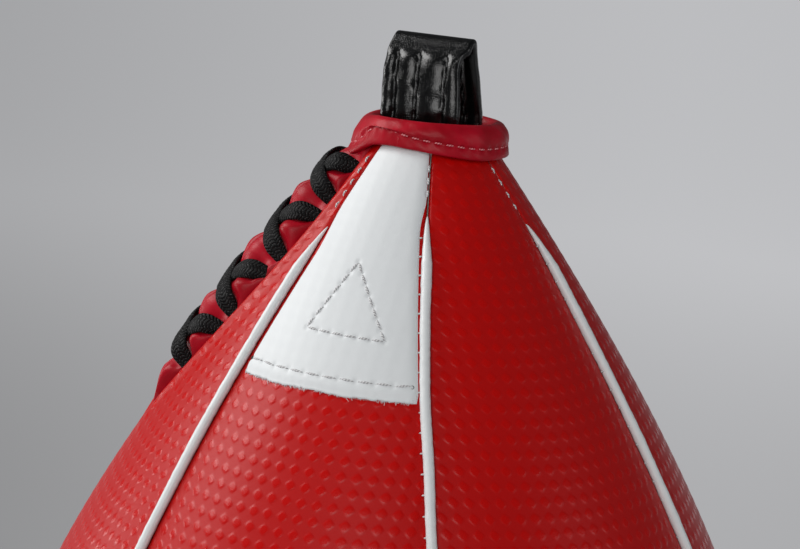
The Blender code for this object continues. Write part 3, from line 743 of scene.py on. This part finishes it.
def patch_sheet(name, node, panel, marks):
    """The patch, dished at its needle holes and rolled down along its seams."""
    bottom = down_to(PATCH_BOTTOM)
    down = even_steps(PATCH_TOP, bottom, PATCH_STEP)[:, None]
    height = meridian(down)[1]
    width = panel_width(panel, down)
    # Beside the piping the sheet's edges draw back to make room for it.
    beside_first = smooth(PIPING_STARTS[panel] + 0.006, PIPING_STARTS[panel] - 0.006, height)
    beside_second = smooth(PIPING_STARTS[panel + 1] + 0.004, PIPING_STARTS[panel + 1] - 0.004, height)
    first = (0.0006 + 0.0019 * beside_first) / width
    second = 1 - (0.0004 + 0.0011 * beside_second) / width
    across = first + np.linspace(0, 1, PATCH_COLUMNS) * (second - first)
    sideways = (across - 0.5) * width
    from_first, from_second = (across - first) * width, (second - across) * width
    lift = PATCH_SKIN + 0.35 * pressed(sideways, down) - 0.0004 * smooth(bottom - 0.0022, bottom, down)
    lift = lift - turned_edge(from_first, 0.0008, 0.0014) - turned_edge(from_second, 0.0010, 0.0026)
    for mark_side, mark_down in marks:
        away = (sideways - mark_side) ** 2 + (down - mark_down) ** 2
        lift = lift - NEEDLE_DENT * np.exp(-away / 0.00055 ** 2)
    frayed = 0.00018 * line_noise(8, sideways, 0.0006) + 0.00025 * line_noise(9, sideways, 0.005)
    frayed_down = down + frayed * smooth(PATCH_BOTTOM + 0.003, PATCH_BOTTOM, height)
    outer = on_panel(panel, across, frayed_down, lift)
    inner = on_panel(panel, across, frayed_down, PATCH_UNDERSIDE)
    sheet = slab(name, outer, inner, patch_leather, stacked(sideways, down, from_first))
    fasten(sheet, "white_leather", node)


def frayed_edge(name, panel, seed):
    """Loose fibres of the patch's cloth backing along its cut edge."""
    rng = np.random.default_rng(seed)
    bottom = down_to(PATCH_BOTTOM)
    half = float(0.5 * panel_width(panel, bottom)) - HEM_MARGIN
    rings, groups, laid = [], [], []
    turn = around(4)
    for k in range(FIBRES):
        sideways = rng.uniform(-half, half)
        long = rng.gamma(1.4, 0.00013)
        lean = rng.normal(0, 0.6)
        lift = rng.uniform(0.0001, 0.0004)
        for share in np.linspace(0, 1, 4):
            down = bottom - 0.0006 + (long + 0.0007) * share
            raised = lift + 0.0002 * share * rng.uniform(-1, 1)
            spot = panel_spot(panel, sideways + lean * long * share, down, raised)
            size = FIBRE_RADIUS * (1 - 0.5 * share)
            rings.append(spot + size * stacked(np.cos(turn), 0.3 * np.cos(turn), np.sin(turn)))
            laid.append(stacked(turn * size, share * long, 0))
        groups += tube_groups(4, 4, k * 16)
    fasten(add_piece(name, rings, groups, patch_leather, laid), "white_leather")


for panel, name in ((0, "patch_front"), (3, "patch_rear")):
    outline, hem = sewn_rows(panel)
    patch_sheet(name, f"crown_{name}", panel, np.vstack([outline[:-1], hem]))
    for part, row, seed in (("triangle", outline, 8), ("hem", hem, 3)):
        points = panel_spot(panel, *row.T, PATCH_SKIN - 0.00005)
        outs = unit(panel_spot(panel, *row.T, PATCH_SKIN + 0.01) - points)
        stitches = stitch_row(f"{name}_{part}_stitches", points, outs, 0.80, PATCH_THREAD, panel + seed)
        fasten(stitches, "white_leather")
        holes = beads(f"{name}_{part}_holes", points, outs, [(0.0, 0.0, 1.0)] * len(points),
                      HOLE_PROFILE, HOLE_RADIUS, 8, hole_dark_thread_and_shade)
        fasten(holes, "black_leather")
    frayed_edge(f"{name}_fray", panel, 40 + panel)


# ---- stitches beside the seams
# Above the piping the seams are flat and top-stitched; beside the piping the seam's own thread shows as
# small dots on one side.

SEAM_THREAD = 0.00021
SEAM_PITCH = 0.0033
CLOSE_SEAMS = (1, 4)  # their stitches run nearly on the seam
LOW_SEAMS = (2, 5)  # no patch lies under their stitches
DOT_PITCH = 0.0047
DOT_RADIUS = 0.00022
DOT_PROFILE = ((-0.00038, 0.45), (-0.000152, 1.0), (0.000152, 1.0), (0.00038, 0.45))

for seam in range(6):
    start = down_to(PIPING_STARTS[seam])
    foot, out, side = seam_frame(seam, np.arange(down_to(-0.0035), start - 0.0012, SEAM_PITCH))
    aside = -0.0002 if seam in CLOSE_SEAMS else -0.0009
    points = foot + side * aside + out * (0.0001 if seam in LOW_SEAMS else 0.0006)
    stitches = stitch_row(f"seam_stitches_{seam + 1}", points, out, 0.50, SEAM_THREAD, 90 + seam)
    fasten(stitches, "white_leather")
    foot, out, side = seam_frame(seam, np.arange(start + 0.006, piping_end - 0.004, DOT_PITCH))
    points = foot - side * (PIPING_RADIUS + 0.00012) + out * 0.00045
    dots = beads(f"welt_dots_{seam + 1}", points, side * 0.8 + out * 0.6, out, DOT_PROFILE, DOT_RADIUS,
                 THREAD_SIDES, pale_thread)
    fasten(dots, "white_leather")


# ---- the collar
# A strip of crimson leather folded over a cord and the panels' top edge, and sewn through below the cord: a
# smooth roll above the stitches, a flatter band below them. It thickens and dips where the slit opens.

COLLAR_STITCH_HEIGHT = 0.0006
COLLAR_PITCH = 0.0027
COLLAR_RADIUS = 0.0170
COLLAR_TURNS = 360
COLLAR_THREAD = 0.00022
ROLL_SECTION = (  # radius and height, from inside the mouth over the roll to the lower edge
    (0.01365, -0.0016), (0.0136, 0.0008), (0.01355, 0.0030), (0.0139, 0.0047), (0.0150, 0.0056),
    (0.0163, 0.0052), (0.0173, 0.0040), (0.0178, 0.0025), (0.0178, 0.0012), (0.0175, 0.0006),
    (0.0178, 0.0000), (0.0181, -0.0009), (0.0181, -0.0018), (0.0176, -0.0021), (0.0166, -0.0018),
)
UNDERSIDE = ((0.0158, -0.0012), (0.0158, 0.0010), (0.0155, 0.0034), (0.0148, 0.0034), (0.0145, 0.0010),
             (0.0144, -0.0012))
slit_azimuth = 0.5 * float(seam_azimuth(LACED, -0.005) + seam_azimuth(LACED + 1, -0.005))

crimson = Finish("crimson_leather")
place, across, along = crimson.laid()
crimson_grain = crimson.noise(place, 1700.0, 5.0, 0.65)
crimson_cells = crimson.cells(place, 1500.0)
crimson_tone = crimson.noise(place, 130.0, 3.0)
crimson_leather = crimson.painted(
    Base_Color=crimson.mixed(crimson_tone.ramp(0.35, 0.7), (0.30, 0.0010, 0.0080), (0.41, 0.0026, 0.0150)),
    Roughness=0.34 + crimson_grain * 0.14,
    Normal=crimson.bumped(crimson_grain * 0.7 + crimson_cells * 0.5, 0.00007, 0.6),
    Specular_IOR_Level=0.17,
)
pink_thread = thread_finish("pink_thread", (0.42, 0.04, 0.06), (0.80, 0.30, 0.32), 0.6)


def curve_through(points, count):
    """Points evenly along a Catmull-Rom curve."""
    points = np.array(points, float)
    padded = np.vstack([2 * points[0] - points[1], points, 2 * points[-1] - points[-2]])
    t = np.linspace(0, 1, 12, endpoint=False)[:, None]
    curve = [0.5 * (2 * b + (c - a) * t + (2 * a - 5 * b + 4 * c - d) * t ** 2
                    + (3 * b - a - 3 * c + d) * t ** 3)
             for a, b, c, d in zip(padded, padded[1:], padded[2:], padded[3:])]
    return placed(np.vstack(curve + [points[-1]]), count)


def ring_noise(seed, azimuth, bumps):
    """Smooth repeatable noise that closes on itself round the mouth."""
    return table_noise(seed, (azimuth / (2 * np.pi)) % 1.0 * bumps, bumps)


def collar_surface(azimuth, section):
    """The collar's section carried round the mouth, with its puckers and its dip at the slit."""
    azimuth = azimuth[:, None]
    radius, height = section.T
    from_slit = (azimuth - slit_azimuth + math.pi) % (2 * math.pi) - math.pi
    dip = bump(from_slit, 0.46)
    beside = bump(from_slit - 0.62, 0.42)
    outside = smooth(0.0148, 0.0166, radius)
    below = smooth(0.0045, -0.001, height)
    lower = outside * smooth(0.0040, 0.0, height)
    pull = np.cos(2 * np.pi * azimuth * COLLAR_RADIUS / COLLAR_PITCH)
    pucker = 0.00016 * bump(height - COLLAR_STITCH_HEIGHT, 0.0006) * outside * pull
    wobble = 0.00020 * ring_noise(3, azimuth, 18) + 0.00012 * ring_noise(4, azimuth + height * 60, 48)
    # Past the slit the band's lower edge is drawn up and in, and far round it sags a little.
    raised = (0.0015 * smooth(0.12, 0.66, from_slit) * (1 - smooth(0.8, 2.3, from_slit))
              - 0.0004 * bump(from_slit - 2.3, 0.5)) * lower
    radius = radius + outside * (0.0019 * dip * below + wobble) + pucker - 0.45 * raised
    height = height - dip * (0.0024 * below * outside + 0.0006) + 0.00022 * ring_noise(5, azimuth, 10)
    height = height + (0.0016 * beside + 0.0009 * dip) * lower * smooth(-0.0010, 0.0004, height) + raised
    return radius, height


section = np.vstack([curve_through(ROLL_SECTION, 64), UNDERSIDE])
azimuths = around(COLLAR_TURNS)
radius, height = collar_surface(azimuths, section)
laid = stacked(azimuths[:, None] * 0.0165, np.arange(len(section)) * 0.0003, 0)
collar = add_piece("collar_roll", neck + turned(radius, azimuths[:, None], height),
                   tube_groups(COLLAR_TURNS, len(section), closed=True, flipped=True), crimson_leather, laid)
fasten(collar, "crimson_leather", "collar_binding")

azimuths = np.linspace(0, 2 * np.pi, round(2 * math.pi * COLLAR_RADIUS / COLLAR_PITCH) + 1)
radius, height = collar_surface(azimuths, np.array([(0.0175, COLLAR_STITCH_HEIGHT)]))
points = neck + turned(radius[:, 0] + 0.00008, azimuths, height[:, 0])
outs = turned(1.0, azimuths, 0)
stitches = stitch_row("collar_stitches", points, outs, 0.60, COLLAR_THREAD, 12, pink_thread)
fasten(stitches, "crimson_leather")


# ---- the lace
# A flat black braid about 5 mm wide that criss-crosses down over the slit's pads and back up, through holes
# under the slit's lips. Pale specks where light would catch the braid are painted into its colour as painted
# highlights.

LACE_LEVELS = (-0.0050, -0.0165, -0.0310, -0.0450, -0.0590)
LACE_TURN = 0.0018
LACE_END_TURN = 0.0012
LACE_UNDER = 0.0004
LACE_SUNK = -0.0022  # in a hole
LACE_LOWEST = -0.0014  # where it passes under the lips at the bottom
LACE_WIDTH = 0.0047
LACE_THICK = 0.0009
LACE_SHOULDER = 0.0038
CROSSINGS = (0.0040, 0.0050)  # the lower and the upper strand over the slit's middle
LACE_POINTS = 640
LACE_SIDES = 28
last = len(LACE_LEVELS) - 1


def rounded(value, power):
    return np.sign(value) * np.abs(value) ** power


def slit_spot(height, sideways, lift):
    """A point by its distance from the slit's middle line, sideways being positive towards the front."""
    return panel_spot(LACED, sideways, down_to(height), lift)


def lace_hole(level, side, turn):
    height = LACE_LEVELS[level] + turn
    return height, side * (slit_half(height) + LACE_UNDER), LACE_SUNK


def lace_strand(level, side, step, lift):
    """From a hole to the one on the other side, a level lower (1) or higher (-1)."""
    start = lace_hole(level, side, -LACE_TURN * step)
    end = lace_hole(level + step, -side, LACE_TURN * step)
    middle = 0.5 * (start[0] + end[0])

    def climb(hole):
        """Out of a hole, over its lip and up onto the pad."""
        for share, aside, rise in ((0.10, 0.0004, 0.0006), (0.30, 0.0, 0.0036),
                                   (0.62, 0.0, 0.5 * (LACE_SHOULDER + lift) + 0.0004)):
            yield (hole[0] + share * (middle - hole[0]),
                   hole[1] * (1 - share) - math.copysign(aside, hole[1]), rise)

    return [start, *climb(start), (middle, 0.0, lift), *reversed(list(climb(end))), end]


route = [lace_hole(0, 1, LACE_END_TURN)]
for level in range(last):
    route += lace_strand(level, (-1) ** level, 1, CROSSINGS[level % 2])
route += [(*lace_hole(last, 1, -0.0002)[:2], LACE_LOWEST), (LACE_LEVELS[last], 0.0, LACE_LOWEST - 0.0002),
          (*lace_hole(last, -1, -0.0002)[:2], LACE_LOWEST)]
for level in range(last, 0, -1):
    route += lace_strand(level, -(-1) ** level, -1, CROSSINGS[level % 2])
route.append(lace_hole(0, -1, LACE_END_TURN))
lace_height, lace_sideways, lace_lift = curve_through(route, LACE_POINTS).T

braid = Finish("lace_braid")
place, across, along = braid.laid()
# Ribs of braid: slanting yarns that meet in chevrons.
fold = abs((across * (2 * math.pi / LACE_WIDTH)).cosine())
chevron = (along * 7400.0 + fold * 5.0).cosine()
fuzz = braid.noise(place, 2400.0, 3.0, 0.7)
# Painted highlight: pale specks along the chevrons stand in for light catching the yarns.
painted_glint_specks = (chevron * 0.5 + 0.5) * fuzz
lace_cloth = braid.painted(
    Base_Color=braid.mixed(painted_glint_specks.ramp(0.48, 0.60), (0.0016, 0.0016, 0.0018), (0.085, 0.085, 0.086)),
    Roughness=0.60,
    Normal=braid.bumped(chevron + fuzz * 0.8, 0.00010, 0.8),
    Specular_IOR_Level=0.14,
)
path = slit_spot(lace_height, lace_sideways, lace_lift)
middle = slit_spot(lace_height, 0.0, 0.0)
outwards = unit(slit_spot(lace_height, 0.0, 0.001) - middle)
frontwards = unit(slit_spot(lace_height, 0.001, 0.0) - middle)
tangent = unit(np.gradient(path, axis=0))
# The band lies flat on the round pads, so its face leans over with them.
lean = (lace_sideways / slit_half(lace_height))[:, None]
out = outwards * np.sqrt(np.clip(1 - 0.8 * lean ** 2, 0.05, 1)) + frontwards * lean * 1.1
out = unit(out - tangent * np.sum(tangent * out, axis=1)[:, None])
for _ in range(12):
    out[1:-1] = (out[:-2] + 2 * out[1:-1] + out[2:]) / 4
    out = unit(out)
side_way = unit(np.cross(tangent, out))
turn = around(LACE_SIDES)
flat_across = 0.5 * LACE_WIDTH * rounded(np.cos(turn), 0.75)
flat_out = 0.5 * LACE_THICK * rounded(np.sin(turn), 0.6)
yarns = 2 * np.pi * flat_across / LACE_WIDTH
lengths = measured(path)[:, None]
gathered = 1 - 0.22 * smooth(0.0030, -0.0005, lace_lift)[:, None]
knobs = 0.00003 * np.cos(2 * np.pi * lengths / 0.0015 + 4 * np.abs(np.cos(yarns)))
ribs = 0.00010 * np.abs(np.sin(yarns))
cup = -0.00035 * (2 * flat_across / LACE_WIDTH) ** 2
rings = (path[:, None] + side_way[:, None] * (flat_across * gathered)[..., None]
         + out[:, None] * (flat_out + cup + (knobs + ribs) * np.sin(turn))[..., None])
lace = add_piece("lace_band", rings, tube_groups(LACE_POINTS, LACE_SIDES), lace_cloth,
                 stacked(flat_across, lengths, flat_out))
fasten(lace, "lace_braid", "lace")


# ---- the two pads in the slit
# Narrow rolls of crimson leather stuffed with felt, sewn behind the slit's lips. They meet along its middle
# and bulge between the turns of the lace that draws over them.

PAD_TOP = 0.0006
PAD_BOTTOM = -0.0702
PAD_END = 0.0190  # over which a pad thins out at its bottom
PAD_SIDES = 44
PAD_ROWS = 260
PAD_CROWN = 0.0066
PAD_FLOOR = 0.0030
PAD_SUNK = 0.0008
PAD_GROOVE = 0.0011
NO_LACE = 0.02  # ceilings above this press on nothing
turn = around(PAD_SIDES)
cos, sin = np.cos(turn), np.sin(turn)
# The two pads press flat on each other along the middle and are round towards the lips.
bulge = rounded(cos, np.where(cos < 0, 0.45, 0.9))
pressing = lace_lift[::3] > 0.0005

for facing, end in ((1, "front"), (-1, "rear")):
    heights = np.linspace(PAD_TOP, PAD_BOTTOM, PAD_ROWS)[:, None]
    half = np.maximum(slit_half(heights) - 0.0001, 0.0012)
    sideways = np.maximum(0.5 * half * (1 + bulge), 0.00008)
    ending = np.clip((heights - PAD_BOTTOM) / PAD_END, 0, 1) ** 0.55
    crown = PAD_CROWN * ending * (0.30 + 0.70 * smooth(-0.0015, -0.010, heights))
    lift = np.where(sin > 0, crown * np.abs(sin) ** 0.85, PAD_FLOOR * sin) - PAD_SUNK
    lift = lift - PAD_GROOVE * bump(sideways, 0.0011) * (sin > 0)
    # Under the lace the pad is pressed down to it; away from it the pad swells.
    apart = np.hypot(down_to(heights)[..., None] - down_to(lace_height[::3]),
                     facing * sideways[..., None] - lace_sideways[::3])
    ceiling = lace_lift[::3] - LACE_THICK + 420.0 * np.maximum(apart - 0.0013, 0) ** 2
    ceiling = np.where(pressing, ceiling, 1.0).min(axis=-1)
    held = 0.5 * (ceiling + lift - np.hypot(ceiling - lift, 0.0018))
    lift = np.where((sin > 0.02) & (ceiling < NO_LACE), held, lift)
    for _ in range(26):
        lift[1:-1] = (lift[:-2] + 2 * lift[1:-1] + lift[2:]) / 4
    tight = smooth(0.0022, 0.0002, np.abs(ceiling - lift)) * (sin > 0)
    lift = lift + 0.00022 * tight * line_noise(16 + facing, heights + sideways * 0.4, 0.0012)
    pad = add_piece(f"lacing_pad_{end}", slit_spot(heights, facing * sideways, lift),
                    tube_groups(PAD_ROWS, PAD_SIDES, flipped=facing > 0), crimson_leather,
                    stacked(turn * 0.003, heights, 0))
    fasten(pad, "crimson_leather", f"slit_roll_{end}")


# ---- the strap loop
# A strap of black pebbled leather folded over a webbing core and sewn in three rows, which leaves four puffed
# ribs. It goes over the hook and back, and both ends run down through the mouth, where they are sewn in.

STRAP_HALF_WIDTH = 0.0106
STRAP_SECTION = (  # forward and up: up the front leaf, over the sloping crown, down the rear leaf
    (-0.0056, -0.0186), (-0.0059, -0.0150), (-0.0056, -0.0100), (-0.0048, -0.0050), (-0.0041, -0.0026),
    (-0.0037, -0.0016), (-0.0030, -0.0008), (-0.0018, 0.0004), (-0.0004, 0.0019), (0.0004, 0.0022),
    (0.0011, 0.0015), (0.0021, -0.0015), (0.0034, -0.0070), (0.0050, -0.0130), (0.0055, -0.0150),
    (0.0056, -0.0186),
)
STRAP_ROWS = (-0.67, -0.12, 0.58)
STRAP_PITCH = 0.0034
STRAP_THREAD = 0.00026
STRAP_STATIONS = 190
STRAP_COLUMNS = 61
STRAP_LEAN = -0.0007
STRAP_DRAWN_IN = 0.0009
CROWN_THICKNESS = 0.00115
EDGE_AT = 0.965  # share of the half width at which the edge starts to round

black = Finish("black_leather")
place, across, along = black.laid()
pebble_edges = black.cells(place, 2100.0, "DISTANCE_TO_EDGE")
wear = black.noise(place, 420.0, 4.0, 0.6)
black_leather = black.painted(
    Base_Color=black.mixed(wear.ramp(0.5, 0.85), (0.0014, 0.0015, 0.0016), (0.004, 0.004, 0.0043)),
    Roughness=0.15 + wear * 0.10,
    Normal=black.bumped(pebble_edges.ramp(0.0, 0.35) * 0.8 + wear * 0.8, 0.00006, 0.4),
    Specular_IOR_Level=0.40,
)
black_thread = thread_finish("black_thread", (0.01, 0.01, 0.01), (0.07, 0.07, 0.072), 0.5)


def strap_puff(across, along):
    """Half the strap's thickness: full between the stitch rows, pulled in at them and at the edges."""
    rows = (-1.0, *STRAP_ROWS, 1.0)
    thick = 0.00016 * line_noise(21, along + 0.9 * np.round(across * 2.2), 0.0026)
    for first, second in zip(rows, rows[1:]):
        inside = (across >= first) & ((across < second) | (second == 1.0))
        bulge = np.abs(np.sin(np.pi * np.clip((across - first) / (second - first), 0, 1))) ** 0.75
        thick = thick + inside * (0.00060 + (0.00078 + 0.00050 * (second - first)) * bulge)
    pull = 0.5 + 0.5 * np.cos(2 * np.pi * along / STRAP_PITCH)
    for row in STRAP_ROWS:
        thick = thick - 0.00022 * pull * bump(across - row, 0.05)
    return thick


line = curve_through(STRAP_SECTION, STRAP_STATIONS)
forward, up = line.T[..., None]
steps = unit(np.gradient(line, axis=0))
outward = np.stack([-steps[:, 1], steps[:, 0]], axis=1)
along_line = measured(line)
columns = np.linspace(-np.pi / 2, np.pi / 2, STRAP_COLUMNS)
columns = np.sin(columns) * 0.35 + columns / (np.pi / 2) * 0.65
full_round = np.concatenate([columns, columns[::-1][1:-1]])
upper = np.arange(len(full_round)) < STRAP_COLUMNS
# Over the crown the ribs are pressed flat.
crowned = smooth(-0.0026, -0.0010, up) * smooth(0.0022, 0.0010, forward)
thick = strap_puff(full_round, along_line[:, None]) * (1 - crowned) + CROWN_THICKNESS * crowned
edge_round = np.sqrt(1 - (np.abs(full_round) - EDGE_AT).clip(0) ** 2 / (1 - EDGE_AT) ** 2)
offset = np.where(upper, 1.0, -0.72) * thick * edge_round
at_edges = np.sign(full_round) * (np.abs(full_round) > 0.8)
ragged = 0.00022 * line_noise(25, along_line, 0.004)[:, None] * at_edges
row_width = STRAP_HALF_WIDTH - 0.0002
lean = STRAP_LEAN * smooth(-0.016, 0.0, up)
front_side = smooth(-0.0016, -0.0034, forward) * smooth(-0.014, -0.004, up)
drawn_in = STRAP_DRAWN_IN * front_side * smooth(0.5, 1.0, full_round)
rings = stacked(full_round * row_width - drawn_in + ragged + lean, forward + outward[:, :1] * offset,
                up + outward[:, 1:] * offset)
strap = add_piece("strap_cover", rings, tube_groups(STRAP_STATIONS, len(full_round)), black_leather,
                  stacked(full_round * STRAP_HALF_WIDTH, along_line[:, None], np.where(upper, 1.0, -1.0)))
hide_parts("loop_outer_ply", "loop_inner_ply", "loop_core")
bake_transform(strap)

places = np.arange(0.004, along_line[-1] - 0.002, STRAP_PITCH)
for number, row in enumerate(STRAP_ROWS):
    for face, sign, lift in (("outer", 1, 0.00066), ("inner", -1, 0.00050)):
        middle = [np.interp(places, along_line, values) for values in (row * row_width + lean[:, 0], *line.T)]
        outs = stacked(0, *[np.interp(places, along_line, values) for values in outward.T]) * sign
        name = f"strap_stitches_{face}_{number + 1}"
        points = stacked(*middle) + outs * lift
        stitches = stitch_row(name, points, outs, 0.78, STRAP_THREAD, 60 + number, black_thread)
        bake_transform(stitches)


# ---- the cap at the bottom
# A round of the same red leather, sewn over the point where the six panels meet.

CAP_RADIUS = 0.019
CAP_LIFT = 0.0013
CAP_RINGS = 40
CAP_SIDES = 120
CAP_PITCH = 0.0032
CAP_THREAD = 0.00028
CAP_HEM = 0.0022
pole = flank_lengths[-1]
turns = around(CAP_SIDES)
radius, height, normal_r, normal_z = meridian(np.linspace(pole - 1e-5, pole - CAP_RADIUS, CAP_RINGS)[:, None])
edge_drop = turned_edge(np.linspace(CAP_RADIUS, 0, CAP_RINGS), 0.0009, 0.0012)[:, None]
lattice = (np.cos(2 * np.pi * radius * np.sin(turns) / LATTICE)
           + np.cos(2 * np.pi * radius * np.cos(turns) / LATTICE))
pillows = PILLOW_HEIGHT * smooth(-1.3, 1.3, lattice) * smooth(0, 0.003, CAP_RADIUS - radius)
lift = CAP_LIFT - edge_drop + pillows
face = turned(radius + lift * normal_r, turns, height + lift * normal_z)
back = turned(radius, turns, height + 0.0002 * normal_z)
points = np.concatenate([face, back[::-1]])
cap = add_piece("pole_cap", points + neck, tube_groups(2 * CAP_RINGS, CAP_SIDES, flipped=True), red_leather,
                points * np.array([1, 1, 0]))
fasten(cap, "red_leather", "bottom_patch")
radius, height, normal_r, normal_z = meridian(pole - CAP_RADIUS + CAP_HEM)
turns = np.linspace(0, 2 * np.pi, round(2 * math.pi * float(radius) / CAP_PITCH) + 1)
points = neck + turned(radius, turns, height + normal_z * CAP_LIFT)
stitches = stitch_row("pole_cap_stitches", points, turned(normal_r, turns, normal_z), 0.66, CAP_THREAD, 77)
fasten(stitches, "red_leather")


# ---- what is inside
# The cotton lining and the collar's cord, the strap's webbing tails, the leather tongue behind the slit, and
# the rubber bladder with its valve. They keep the frame's own shapes.

def line_inside(finish, pattern, dark, pale, roughness, bumps, *nodes):
    """Colours a finish by a pattern and puts it on nodes of the frame."""
    finish.painted(Base_Color=finish.mixed(pattern, dark, pale), Roughness=roughness, Normal=bumps)
    for node in nodes:
        for holder in frame["nodes"][node].material_slots:
            holder.material = finish.material


cloth = Finish("lining_cloth")
spot = cloth.spot()
threads = cloth.bands(spot, "X", 420.0) * 0.5 + cloth.bands(spot, "Z", 420.0) * 0.5
line_inside(cloth, threads, (0.30, 0.285, 0.25), (0.55, 0.53, 0.48), 0.9,
            cloth.bumped(threads, 0.0002, 0.7), "lining", "collar_cord")
web = Finish("webbing")
ridge = web.bands(web.spot(), "DIAGONAL", 300.0)
line_inside(web, ridge, (0.20, 0.19, 0.17), (0.42, 0.40, 0.36), 0.85,
            web.bumped(ridge, 0.0003, 0.8), "loop_tail_front", "loop_tail_rear")
rubber = Finish("rubber")
spot = rubber.spot()
bloom = rubber.noise(spot, 90.0, 4.0)
line_inside(rubber, bloom, (0.012, 0.012, 0.012), (0.045, 0.043, 0.041), 0.5 + bloom * 0.25,
            rubber.bumped(rubber.noise(spot, 1500.0), 0.00005, 0.4), "bladder", "valve")
suede = Finish("tongue_suede")
nap = suede.noise(suede.spot(), 1800.0, 4.0, 0.7)
line_inside(suede, nap, (0.16, 0.004, 0.008), (0.34, 0.010, 0.020), 0.85,
            suede.bumped(nap, 0.0001, 0.6), "tongue")
